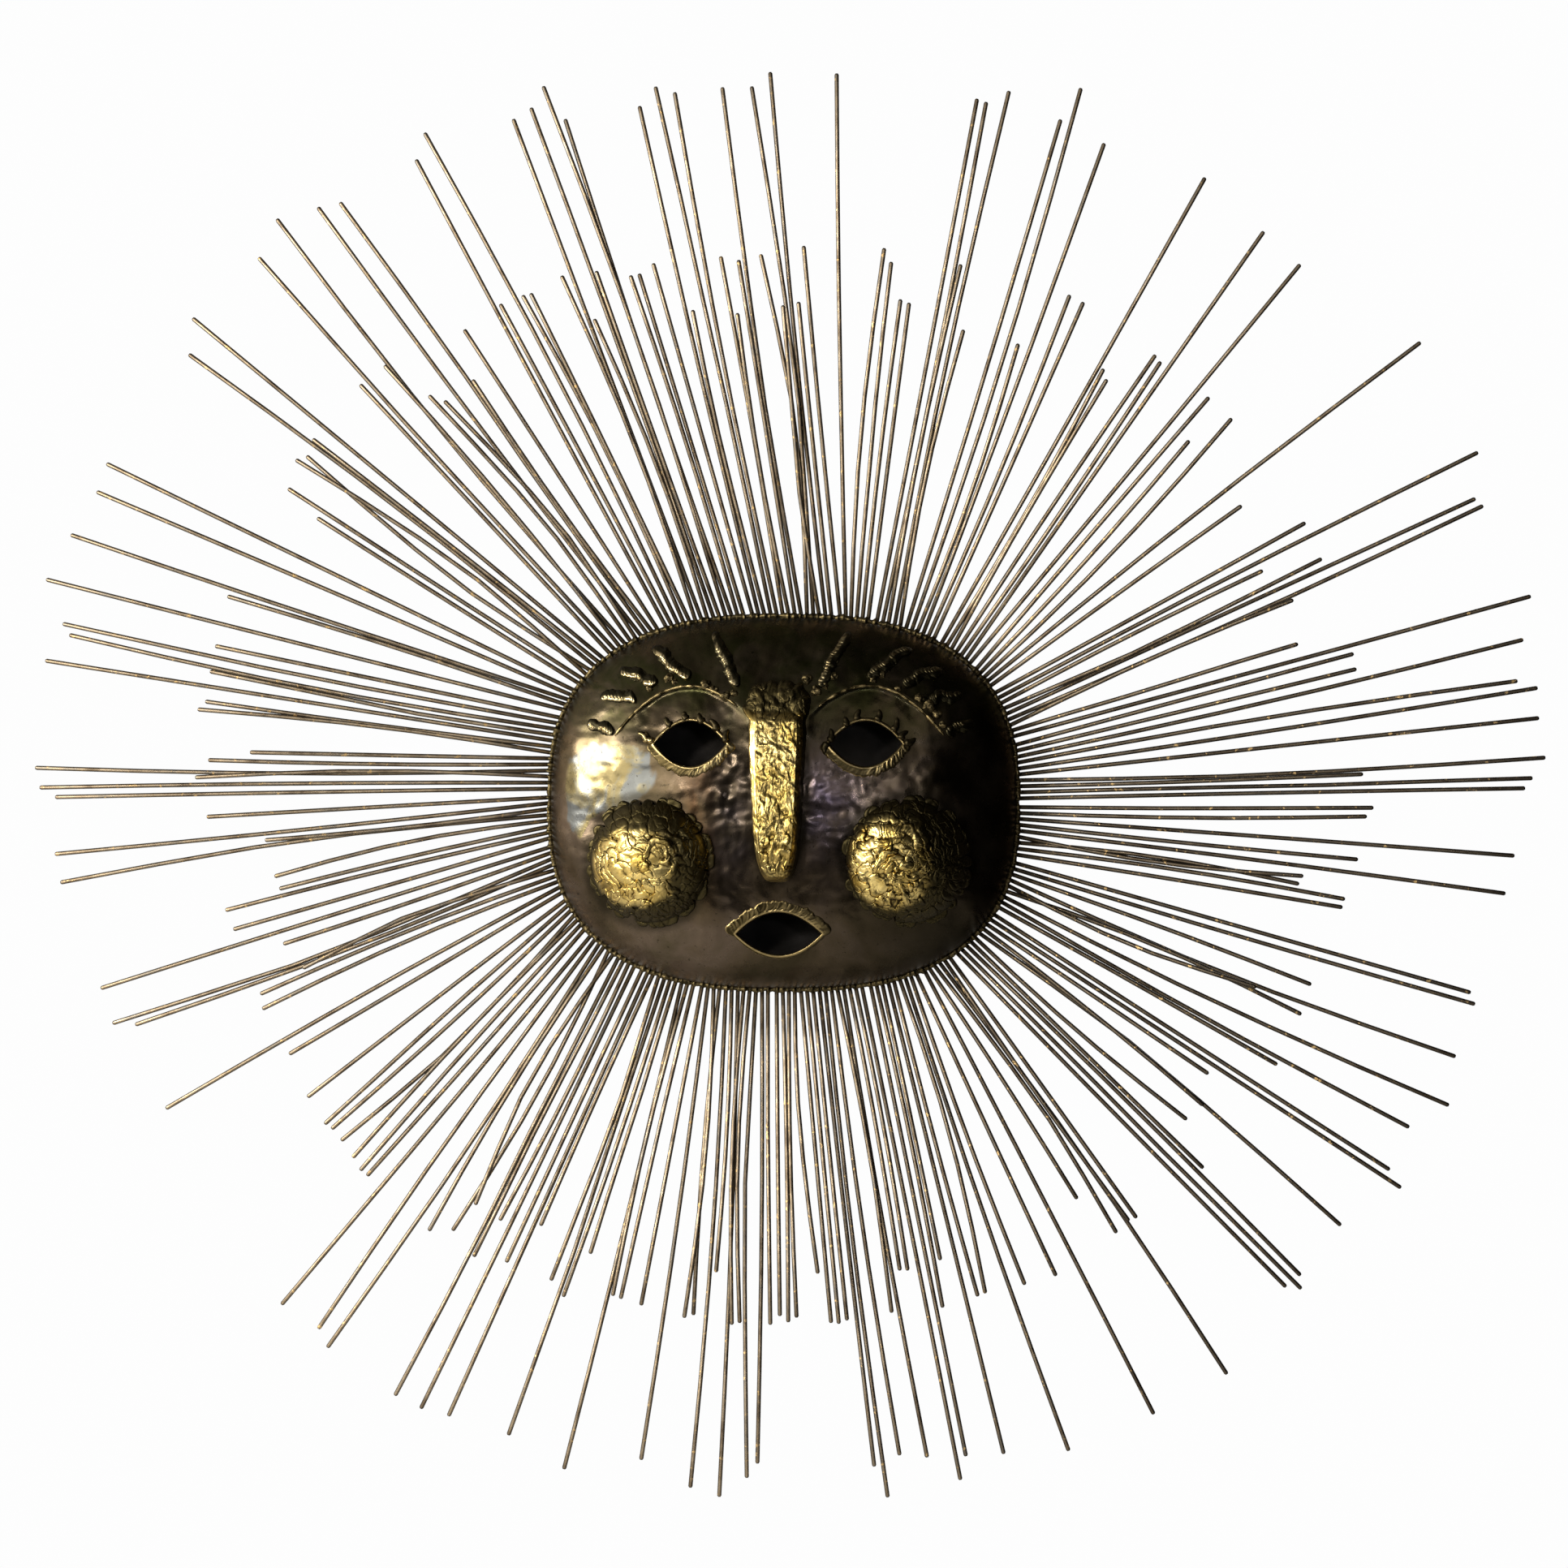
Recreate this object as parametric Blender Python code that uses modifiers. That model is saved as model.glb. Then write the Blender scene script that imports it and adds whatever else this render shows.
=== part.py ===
"""Sun face wall sculpture: a domed sheet-metal face with brazed features and a burst of wire rays.

Metres, +Z up, the face looks along -Y and the wall is the plane Y = 0.
The origin is on the back sheet's rear face, midway between its two hanging holes.
Left and right are as seen from in front of the face.
"""

import math
import random

import bmesh
import bpy
from mathutils import Vector, noise

# Face: the hammered sheet

FACE_WIDTH = 0.380
FACE_HEIGHT = 0.302
FACE_DEPTH = 0.080
FACE_SQUARENESS = 2.6
DOME_CREST = 2.3
DOME_FALL = 0.62
SKIRT_DEPTH = 0.010
SHEET_THICKNESS = 0.0016
HANG_ABOVE_CENTRE = 0.095

# Back sheet

BACK_THICKNESS = 0.0015
BACK_CLEARANCE = 0.0009
HANGING_HOLE_DIAMETER = 0.012
HANGING_HOLE_SPACING = 0.120

# Features, as shares of half the face's width and height

EYE_PLACE = (0.372, 0.314)
EYE_HALF = (0.157, 0.125)
MOUTH_PLACE = (0.0, -0.699)
MOUTH_HALF = (0.183, 0.118)
NOSE_TOP, NOSE_BOTTOM = 0.629, -0.415
NOSE_HALF_TOP, NOSE_HALF_BOTTOM = 0.134, 0.089
CHEEK_PLACE = (0.549, -0.312)
CHEEK_HALF = (0.276, 0.352)
BROW_INNER, BROW_PEAK, BROW_OUTER = 0.17, 0.38, 0.70
BROW_PEAK_HEIGHT = 0.62
BROW_BEND = 2.6

# Each drip: how far out it starts, its rise above the brow there, and its run outwards and up
BROW_DRIPS = (
    (0.71, 0.035, 0.10, 0.06),
    (0.61, 0.070, 0.145, 0.02),
    (0.525, 0.075, 0.145, 0.07),
    (0.38, 0.050, 0.155, 0.145),
    (0.175, 0.110, 0.105, 0.265),
)

# Brazed metal laid on the sheet

BRAZE_WALL = 0.003
BRAZE_GAP = 0.0006
TRIM_DEPTH = 0.020
BEAD_SEAT = 0.0005
EYE_BEAD_RADIUS = 0.0032
LOWER_LID_SWELL = 1.35
LIP_BEAD_RADIUS = 0.0040
UPPER_LIP_SWELL, LOWER_LIP_SWELL = 1.35, 0.8
BEAD_OVERHANG = 0.6
LASH_LENGTH = 0.011
LASH_RADIUS = 0.0020
LASH_TAPER = 0.5
LASHES_PER_EYE = 4
LASH_REACH = 0.78
LASH_FAN, LASH_LEAN = 1.3, 0.25
BROW_WIRE_RADIUS = 0.0018
DRIP_RADIUS = 0.0034
NOSE_RISE_TOP, NOSE_RISE_TIP = 0.016, 0.027
NOSE_CROWN = 0.004
NOSE_LUMP = 0.0012
NOSE_LUMP_SIZE = 0.017
NOSE_TIP_START, NOSE_TIP_TAPER = 0.8, 0.35
CHEEK_RISE = 0.027
CHEEK_CREST, CHEEK_FALL = 2.2, 0.75
CHEEK_EDGE = 0.004
CHEEK_RIPPLE = 0.0022
CHEEK_RIPPLE_ARMS = 5
CHEEK_RIPPLE_TURNS = 1.6

# A drip's lumps, as (share of its length, sway and swell as shares of its radius)
DRIP_LUMPS = ((0.0, 0.0, 0.75), (0.3, 0.3, 1.1), (0.62, -0.35, 0.85), (1.0, 0.2, 0.7))

# Rays: brazing rod cut to three lengths and held by a bead round the rim

ROD_DIAMETER = 0.0032
LONG_RAY, MIDDLE_RAY, SHORT_RAY = 0.436, 0.292, 0.252
RAY_SPREAD = {"L": 0.045, "M": 0.022, "S": 0.03}
LOWER_RAYS_CUT = 0.10
LOWER_RAYS_START = 0.33
SIDE_RAYS_CUT = 0.045
RAY_LEAN = {"L": 4.0, "M": 8.0, "S": 11.0}
RAY_LEAN_SPREAD = 1.5
RIM_BEAD_SIDE = 0.0076
RIM_BEAD_GAP = 0.0010
BACK_ROW_DEPTH = 0.0050
FRONT_ROW_DEPTH = 0.0076
BUNDLE_GAP = 0.0012
BUNDLE_MARGIN = 0.7
RAY_FAN_REACH = 0.62
KNEE_SHARES = (0.30, 0.62)
KNEE_PUSH = 0.006
KNEE_CHANCE = 0.25
KNEE_ROOM_AT_BORDER, KNEE_ROOM_PER_RAY = 0.1, 0.45
RAY_SEED = 7

# The rhythm of the rays, anticlockwise from the right: one word for each bundle.
# L, M and S are a long, middle or short ray and a dot is a rest.
RAY_RHYTHM = (
    ".LLML...L..LL...LM.M",
    "L.S......SLLM.SL.M..",
    "....S..L.......M.S.M",
    ".L....LMM...SSL.....",
    "M.M..LS..LL....SLMLL",
    "...SS.MM......L....M",
    "SLSLM.LMSM.L.LSL..M.",
    "MM.LLMLSLM....MM.LML",
    "....M..SL.L.SSLM..LM",
    ".......L.MLMM...MS..",
    "....L..L....LM...L..",
    "MLLM.L.MM.....SMLMLL",
    "..M..LS.L...S.SM..M.",
    "L.S.LLSM.M.....L.M..",
    "....M....MM.M..M.MM.",
    "L....L.L..M..MS.LMSL",
    ".MLS....MLM.S...LMM.",
    ".M..L...MML.SLMMLL.M",
    "MMM...SMMMLL.L.MLSSL",
    "LMS.L.MM...L.M....M.",
    ".L.....S.MLMM.......",
    ".LLLM...S.LS....SLL.",
    "..ML...L..MSL.M...LL",
    "......MMSSL.M.L...MM",
)

# How finely the round forms are faceted

RIM_SIDES = 40
DOME_RINGS = 6
CHEEK_SIDES = 20
CHEEK_RINGS = 4
NOSE_COLUMNS, NOSE_ROWS = 4, 8
OPENING_STEPS = 6
BEAD_STEPS = 8
HOLE_SIDES = 12
ARC_STEP = 0.018

COLOURS = {
    "dark_bronze": ((0.085, 0.062, 0.038), 0.34),
    "bright_braze": ((0.62, 0.43, 0.15), 0.30),
    "rim_braze": ((0.30, 0.22, 0.10), 0.38),
    "rod_bronze": ((0.17, 0.125, 0.075), 0.36),
    "black_back": ((0.012, 0.011, 0.010), 0.75),
}

HALF_WIDTH, HALF_HEIGHT = FACE_WIDTH / 2, FACE_HEIGHT / 2


# The face's outline and dome


def rim_distance(angle):
    """From the face's centre to its rim, in a direction."""
    across = (abs(math.cos(angle)) / HALF_WIDTH) ** FACE_SQUARENESS
    upright = (abs(math.sin(angle)) / HALF_HEIGHT) ** FACE_SQUARENESS
    return (across + upright) ** (-1 / FACE_SQUARENESS)


def dome_height(x, z):
    """Height of the sheet's front above the wall, at a place measured from the face's centre."""
    out = math.hypot(x, z)
    share = min(1.0, out / rim_distance(math.atan2(z, x)))
    rise = (1 - share**DOME_CREST) ** DOME_FALL
    return SKIRT_DEPTH + (FACE_DEPTH - SKIRT_DEPTH) * rise


def on_face(x, z, lift=0.0):
    """The point over a place on the face, lifted above the sheet."""
    return Vector((x, -dome_height(x, z) - lift, z - HANG_ABOVE_CENTRE))


def brow_height(x):
    """The brow's height at a place across it, both as shares."""
    return BROW_PEAK_HEIGHT - BROW_BEND * (x - BROW_PEAK) ** 2


def placed(share, side=1):
    """A place on the face from its shares of half the width and height. Side -1 is the left."""
    return side * share[0] * HALF_WIDTH, share[1] * HALF_HEIGHT


# Scene, materials and objects


def clear_scene():
    for obj in list(bpy.data.objects):
        bpy.data.objects.remove(obj)


def make_collection(name):
    collection = bpy.data.collections.new(name)
    bpy.context.scene.collection.children.link(collection)
    return collection


def make_material(name):
    colour, roughness = COLOURS[name]
    material = bpy.data.materials.new(name)
    material.use_nodes = True
    shader = material.node_tree.nodes["Principled BSDF"]
    shader.inputs["Base Color"].default_value = (*colour, 1.0)
    shader.inputs["Roughness"].default_value = roughness
    shader.inputs["Metallic"].default_value = 1.0
    material.diffuse_color = (*colour, 1.0)
    return material


class Workshop:
    """The collections and materials that every piece is made with."""

    def __init__(self):
        self.pieces = make_collection("sun_face_wall_sculpture")
        self.helpers = make_collection("cutters_and_guides")
        self.materials = {name: make_material(name) for name in COLOURS}

    def piece(self, name, mesh, material):
        obj = bpy.data.objects.new(name, mesh)
        mesh.materials.clear()
        mesh.materials.append(self.materials[material])
        self.pieces.objects.link(obj)
        return obj

    def helper(self, name, mesh):
        obj = bpy.data.objects.new(name, mesh)
        obj.hide_render = True
        obj.display_type = "WIRE"
        self.helpers.objects.link(obj)
        return obj


def mesh_from(name, bm):
    mesh = bpy.data.meshes.new(name)
    bm.to_mesh(mesh)
    bm.free()
    return mesh


def combine(obj, other, operation):
    """Adds a Boolean of obj with another object."""
    boolean = obj.modifiers.new(other.name, "BOOLEAN")
    boolean.operation = operation
    boolean.object = other
    boolean.solver = "EXACT"
    return boolean


def thicken(obj, thickness):
    """Gives an open surface a wall, inwards from its front."""
    wall = obj.modifiers.new("wall", "SOLIDIFY")
    wall.thickness = thickness
    wall.offset = -1
    wall.use_even_offset = True
    return wall


# Tubes: routes with a round section, made as curves and turned into closed meshes


def spline_through(curve, route, closed):
    """Adds a straight-sided spline. Each stop of the route is (point, share of the radius)."""
    spline = curve.splines.new("POLY")
    spline.points.add(len(route) - 1)
    for stop, (point, share) in zip(spline.points, route):
        stop.co = (*point, 1.0)
        stop.radius = share
    spline.use_cyclic_u = closed


def tube_mesh(name, routes, radius, closed=False, roundness=1, turn=0.0):
    """One mesh of a tube along each route. Roundness 0 gives 4 sides and 1 gives 6."""
    curve = bpy.data.curves.new(name, "CURVE")
    curve.dimensions = "3D"
    curve.bevel_depth = radius
    curve.bevel_resolution = roundness
    curve.use_fill_caps = not closed
    for route in routes:
        spline_through(curve, route, closed)
    for stop in (stop for spline in curve.splines for stop in spline.points):
        stop.tilt = turn
    holder = bpy.data.objects.new(name, curve)
    mesh = bpy.data.meshes.new_from_object(holder)
    bpy.data.objects.remove(holder)
    bm = bmesh.new()
    bm.from_mesh(mesh)
    bmesh.ops.remove_doubles(bm, verts=bm.verts, dist=1e-6)
    bmesh.ops.recalc_face_normals(bm, faces=bm.faces)
    bm.to_mesh(mesh)
    bm.free()
    return mesh


# The domed sheet and its three openings


def dome_surface(lift, back):
    """The face's front as an open surface, with a skirt that runs straight back to Y = back."""
    bm = bmesh.new()
    bmesh.ops.create_uvsphere(bm, u_segments=RIM_SIDES, v_segments=2 * DOME_RINGS, radius=1.0)
    rear_half = [v for v in bm.verts if v.co.z < -1e-5]
    bmesh.ops.delete(bm, geom=rear_half, context="VERTS")
    for vert in bm.verts:
        angle = math.atan2(vert.co.y, vert.co.x)
        out = min(1.0, math.hypot(vert.co.x, vert.co.y)) * rim_distance(angle)
        vert.co = on_face(out * math.cos(angle), out * math.sin(angle), lift)
    rim = [edge for edge in bm.edges if edge.is_boundary]
    made = bmesh.ops.extrude_edge_only(bm, edges=rim)["geom"]
    for vert in (item for item in made if isinstance(item, bmesh.types.BMVert)):
        vert.co.y = back
    return bm


def face_envelope(shop):
    """The solid that everything brazed to the face is trimmed with: the face filled in, plus the gap."""
    bm = dome_surface(BRAZE_GAP, FACE_DEPTH)
    rear = [edge for edge in bm.edges if edge.is_boundary]
    bmesh.ops.contextual_create(bm, geom=rear)
    bmesh.ops.recalc_face_normals(bm, faces=bm.faces)
    return shop.helper("face_envelope", mesh_from("face_envelope", bm))


def almond(place, half, steps, grow=0.0):
    """A pointed oval as places on the face, anticlockwise from its right-hand point."""
    wide, high = half[0] * HALF_WIDTH + grow, half[1] * HALF_HEIGHT + grow
    upper = [1 - 2 * step / steps for step in range(steps)]
    top = [(place[0] + wide * t, place[1] + high * (1 - t * t)) for t in upper]
    bottom = [(place[0] - wide * t, place[1] - high * (1 - t * t)) for t in upper]
    return top + bottom


def opening_cutter(shop, name, place, half):
    """A prism through the whole depth of the face, in the shape of an opening."""
    curve = bpy.data.curves.new(name, "CURVE")
    curve.dimensions = "2D"
    curve.fill_mode = "BOTH"
    curve.extrude = FACE_DEPTH
    route = [((x, z, 0.0), 1.0) for x, z in almond(place, half, OPENING_STEPS)]
    spline_through(curve, route, True)
    holder = bpy.data.objects.new(name, curve)
    mesh = bpy.data.meshes.new_from_object(holder)
    bpy.data.objects.remove(holder)
    bm = bmesh.new()
    bm.from_mesh(mesh)
    bmesh.ops.remove_doubles(bm, verts=bm.verts, dist=1e-6)
    for vert in bm.verts:
        x, z, depth = vert.co
        vert.co = (x, -depth - FACE_DEPTH / 2, z - HANG_ABOVE_CENTRE)
    bmesh.ops.recalc_face_normals(bm, faces=bm.faces)
    bm.to_mesh(mesh)
    bm.free()
    return shop.helper(name, mesh)


def build_face(shop):
    """The hammered sheet, open at the eyes and mouth."""
    bm = dome_surface(0.0, 0.0)
    shell = shop.piece("face_shell", mesh_from("face_shell", bm), "dark_bronze")
    thicken(shell, SHEET_THICKNESS)
    for name, place, half in (
        ("eye_cut_left", placed(EYE_PLACE, -1), EYE_HALF),
        ("eye_cut_right", placed(EYE_PLACE), EYE_HALF),
        ("mouth_cut", placed(MOUTH_PLACE), MOUTH_HALF),
    ):
        combine(shell, opening_cutter(shop, name, place, half), "DIFFERENCE")


def build_back(shop):
    """The flat sheet that closes the back, with two hanging holes."""
    bm = bmesh.new()
    bmesh.ops.create_circle(bm, cap_ends=True, segments=RIM_SIDES, radius=1.0)
    inset = SHEET_THICKNESS + BACK_CLEARANCE
    for vert in bm.verts:
        angle = math.atan2(vert.co.y, vert.co.x)
        out = rim_distance(angle) - inset
        vert.co = (out * math.cos(angle), 0.0, out * math.sin(angle) - HANG_ABOVE_CENTRE)
    made = bmesh.ops.extrude_face_region(bm, geom=list(bm.faces))["geom"]
    front = [item for item in made if isinstance(item, bmesh.types.BMVert)]
    bmesh.ops.translate(bm, verts=front, vec=(0.0, -BACK_THICKNESS, 0.0))
    bmesh.ops.recalc_face_normals(bm, faces=bm.faces)
    back = shop.piece("back_sheet", mesh_from("back_sheet", bm), "black_back")
    for name, side in (("hanging_hole_left", -1), ("hanging_hole_right", 1)):
        cutter = bmesh.new()
        bmesh.ops.create_cone(
            cutter,
            cap_ends=True,
            segments=HOLE_SIDES,
            radius1=HANGING_HOLE_DIAMETER / 2,
            radius2=HANGING_HOLE_DIAMETER / 2,
            depth=4 * BACK_THICKNESS,
        )
        drill = shop.helper(name, mesh_from(name, cutter))
        drill.rotation_euler.x = math.pi / 2
        drill.location.x = side * HANGING_HOLE_SPACING / 2
        combine(back, drill, "DIFFERENCE")


# Brazed features, each trimmed to sit on the sheet


def bead_route(places, lift, shares=None):
    """A tube's route over the face from places on it."""
    shares = shares or [1.0] * len(places)
    return [(on_face(x, z, lift), share) for (x, z), share in zip(places, shares)]


def lash_routes(place, side):
    """Short tapering drips that stand out from the upper edge of an eye."""
    wide, high = EYE_HALF[0] * HALF_WIDTH, EYE_HALF[1] * HALF_HEIGHT
    routes = []
    for lash in range(LASHES_PER_EYE):
        t = LASH_REACH * (2 * lash / (LASHES_PER_EYE - 1) - 1)
        root = Vector((place[0] + wide * t, place[1] + high * (1 - t * t)))
        away = Vector((LASH_FAN * t + LASH_LEAN * side, 1.0)).normalized()
        stops = [root, root + away * LASH_LENGTH]
        routes.append(bead_route(stops, BEAD_SEAT, [1.0, LASH_TAPER]))
    return routes


def build_eye_rim(shop, envelope, side, word):
    """The bead round an eye, with its lashes."""
    place = placed(EYE_PLACE, side)
    edge = almond(place, EYE_HALF, BEAD_STEPS, EYE_BEAD_RADIUS * BEAD_OVERHANG)
    shares = [1.0 if index < BEAD_STEPS else LOWER_LID_SWELL for index in range(len(edge))]
    name = f"eye_rim_{word}"
    route = bead_route(edge, BEAD_SEAT, shares)
    mesh = tube_mesh(name, [route], EYE_BEAD_RADIUS, closed=True)
    rim = shop.piece(name, mesh, "rim_braze")
    lashes = tube_mesh(f"lashes_{word}", lash_routes(place, side), LASH_RADIUS, roundness=0)
    combine(rim, shop.helper(f"lashes_{word}", lashes), "UNION")
    combine(rim, envelope, "DIFFERENCE")


def build_lips(shop, envelope):
    """The bead round the mouth, heavier above than below."""
    edge = almond(placed(MOUTH_PLACE), MOUTH_HALF, BEAD_STEPS, LIP_BEAD_RADIUS * BEAD_OVERHANG)
    upper = range(1, BEAD_STEPS)
    shares = [UPPER_LIP_SWELL if index in upper else LOWER_LIP_SWELL for index in range(len(edge))]
    route = bead_route(edge, BEAD_SEAT, shares)
    mesh = tube_mesh("lips", [route], LIP_BEAD_RADIUS, closed=True)
    lips = shop.piece("lips", mesh, "rim_braze")
    combine(lips, envelope, "DIFFERENCE")


def build_brow(shop, envelope, side, word):
    """The bent wire over an eye."""
    places = []
    for step in range(BEAD_STEPS + 1):
        x = BROW_INNER + (BROW_OUTER - BROW_INNER) * step / BEAD_STEPS
        places.append(placed((x, brow_height(x)), side))
    name = f"brow_wire_{word}"
    route = bead_route(places, BROW_WIRE_RADIUS)
    mesh = tube_mesh(name, [route], BROW_WIRE_RADIUS, roundness=0)
    brow = shop.piece(name, mesh, "rim_braze")
    combine(brow, envelope, "DIFFERENCE")


def build_drip(shop, envelope, side, word, number, drip):
    """One lumpy run of braze above a brow. It starts clear of the brow's wire."""
    start, rise, run_out, run_up = drip
    near = Vector(placed((start, brow_height(start) + rise), side))
    run = Vector(placed((run_out, run_up), side))
    across = Vector((-run.y, run.x)).normalized()
    near += run.normalized() * (BROW_WIRE_RADIUS + DRIP_RADIUS)
    run -= run.normalized() * (BROW_WIRE_RADIUS + DRIP_RADIUS)
    stops = [near + run * share + across * sway * DRIP_RADIUS for share, sway, _ in DRIP_LUMPS]
    route = bead_route(stops, BEAD_SEAT, [swell for _, _, swell in DRIP_LUMPS])
    name = f"brow_drip_{word}_{number}"
    mesh = tube_mesh(name, [route], DRIP_RADIUS, roundness=0)
    combine(shop.piece(name, mesh, "rim_braze"), envelope, "DIFFERENCE")


def drop_walls(bm, depth):
    """Runs an open surface's edge straight back, below the sheet, for trimming."""
    edges = [edge for edge in bm.edges if edge.is_boundary]
    made = bmesh.ops.extrude_edge_only(bm, edges=edges)["geom"]
    for vert in (item for item in made if isinstance(item, bmesh.types.BMVert)):
        vert.co.y += depth
    bmesh.ops.recalc_face_normals(bm, faces=bm.faces)
    if max(bm.faces, key=lambda face: -face.calc_center_median().y).normal.y > 0:
        bmesh.ops.reverse_faces(bm, faces=bm.faces)


def build_nose(shop, envelope):
    """The long brazed bar from between the brows to above the mouth."""
    bm = bmesh.new()
    bmesh.ops.create_grid(bm, x_segments=NOSE_COLUMNS, y_segments=NOSE_ROWS, size=1.0)
    for vert in bm.verts:
        across, down = vert.co.x, (1 - vert.co.y) / 2
        half = NOSE_HALF_TOP + (NOSE_HALF_BOTTOM - NOSE_HALF_TOP) * down
        near_end = max(0.0, (down - NOSE_TIP_START) / (1 - NOSE_TIP_START))
        x = across * half * HALF_WIDTH * (1 - NOSE_TIP_TAPER * near_end**3)
        z = (NOSE_TOP + (NOSE_BOTTOM - NOSE_TOP) * down) * HALF_HEIGHT
        rise = NOSE_RISE_TOP + (NOSE_RISE_TIP - NOSE_RISE_TOP) * down
        lump = NOSE_LUMP * noise.noise(Vector((x, z, 0.0)) / NOSE_LUMP_SIZE)
        height = dome_height(0.0, z) + rise - NOSE_CROWN * across**2 + lump
        vert.co = (x, -height, z - HANG_ABOVE_CENTRE)
    drop_walls(bm, NOSE_RISE_TIP + TRIM_DEPTH)
    nose = shop.piece("nose_bar", mesh_from("nose_bar", bm), "bright_braze")
    thicken(nose, BRAZE_WALL)
    combine(nose, envelope, "DIFFERENCE")


def build_cheek(shop, envelope, side, word):
    """A domed disc with a ripple that winds round its middle."""
    place = placed(CHEEK_PLACE, side)
    wide, high = CHEEK_HALF[0] * HALF_WIDTH, CHEEK_HALF[1] * HALF_HEIGHT
    bm = bmesh.new()
    bmesh.ops.create_uvsphere(bm, u_segments=CHEEK_SIDES, v_segments=2 * CHEEK_RINGS, radius=1.0)
    rear_half = [v for v in bm.verts if v.co.z < -1e-5]
    bmesh.ops.delete(bm, geom=rear_half, context="VERTS")
    for vert in bm.verts:
        angle = math.atan2(vert.co.y, vert.co.x)
        share = min(1.0, math.hypot(vert.co.x, vert.co.y))
        x = place[0] + wide * share * math.cos(angle)
        z = place[1] + high * share * math.sin(angle)
        winding = CHEEK_RIPPLE_ARMS * angle + CHEEK_RIPPLE_TURNS * math.tau * share * side
        ripple = CHEEK_RIPPLE * math.sin(winding) * share * (1.2 - share)
        lift = CHEEK_EDGE + CHEEK_RISE * (1 - share**CHEEK_CREST) ** CHEEK_FALL + ripple
        vert.co = on_face(x, z, lift)
    drop_walls(bm, CHEEK_EDGE + TRIM_DEPTH)
    name = f"cheek_{word}"
    cheek = shop.piece(name, mesh_from(name, bm), "bright_braze")
    thicken(cheek, BRAZE_WALL)
    combine(cheek, envelope, "DIFFERENCE")


# Rays


def bead_distance(angle):
    """From the face's centre to the middle of the rim bead, in a direction."""
    return rim_distance(angle) + RIM_BEAD_GAP + RIM_BEAD_SIDE / 2


class RimLine:
    """The rim bead's centre line, looked up by the share of its length, anticlockwise from the right."""

    STEPS = 720

    def __init__(self):
        self.points = []
        for step in range(self.STEPS + 1):
            angle = math.tau * step / self.STEPS
            out = bead_distance(angle)
            self.points.append(Vector((out * math.cos(angle), out * math.sin(angle))))
        self.along = [0.0]
        for start, end in zip(self.points, self.points[1:]):
            self.along.append(self.along[-1] + (end - start).length)
        self.length = self.along[-1]

    def at(self, share):
        """The place at a share of the way round."""
        wanted = (share % 1.0) * self.length
        low, high = 0, self.STEPS
        while high - low > 1:
            middle = (low + high) // 2
            if self.along[middle] <= wanted:
                low = middle
            else:
                high = middle
        part = (wanted - self.along[low]) / (self.along[high] - self.along[low])
        return self.points[low].lerp(self.points[high], part)


def far_place(turn):
    """The place on the circle that the rays aim at, from a share of a full turn."""
    return Vector((math.cos(math.tau * turn), math.sin(math.tau * turn))) * RAY_FAN_REACH


def ray_length(kind, aim, chance):
    """A ray's length: lower rays are cut shorter, and so are those to the sides."""
    length = {"L": LONG_RAY, "M": MIDDLE_RAY, "S": SHORT_RAY}[kind]
    direction = aim.normalized()
    lower = min(1.0, max(0.0, -direction.y / LOWER_RAYS_START))
    cut = 1 - LOWER_RAYS_CUT * lower - SIDE_RAYS_CUT * direction.x**4
    return length * cut * (1 + RAY_SPREAD[kind] * chance.uniform(-1, 1))


def ray_route(kind, root, aim, room, chance):
    """The points of a ray: its root in the bead, its tip and, on a bent one, a knee between."""
    length = ray_length(kind, aim, chance)
    lean = math.radians(RAY_LEAN[kind] + RAY_LEAN_SPREAD * chance.uniform(-1, 1))
    depth = BACK_ROW_DEPTH if kind == "L" else FRONT_ROW_DEPTH
    along = (aim - root).normalized()
    across = Vector((-along.y, along.x))
    knee = (chance.uniform(*KNEE_SHARES), KNEE_PUSH * chance.uniform(-1, 1) * room)
    bent = chance.random() < KNEE_CHANCE
    stops = [(0.0, 0.0), knee, (1.0, 0.0)] if bent else [(0.0, 0.0), (1.0, 0.0)]
    route = []
    for part, aside in stops:
        flat = root + along * length * part * math.cos(lean) + across * aside
        forward = depth + length * part * math.sin(lean)
        route.append(Vector((flat.x, -forward, flat.y - HANG_ABOVE_CENTRE)))
    return route


def bundle_rays(number, word, first, count, rim):
    """The routes of one bundle's rays. They keep between the bundle's two border lines."""
    chance = random.Random(RAY_SEED * 100 + number)
    rays = [(slot, kind) for slot, kind in enumerate(word) if kind != "."]
    spacing = (len(rays) - 2 * BUNDLE_MARGIN) / (len(rays) - 1)
    routes = []
    for place, (slot, kind) in enumerate(rays):
        root = rim.at((first + BUNDLE_MARGIN + place * spacing) / count)
        turn = (number + (slot + 0.5) / len(word)) / len(RAY_RHYTHM)
        inner = min(place, len(rays) - 1 - place)
        room = min(1.0, KNEE_ROOM_AT_BORDER + KNEE_ROOM_PER_RAY * inner)
        routes.append(ray_route(kind, root, far_place(turn), room, chance))
    return routes


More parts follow.
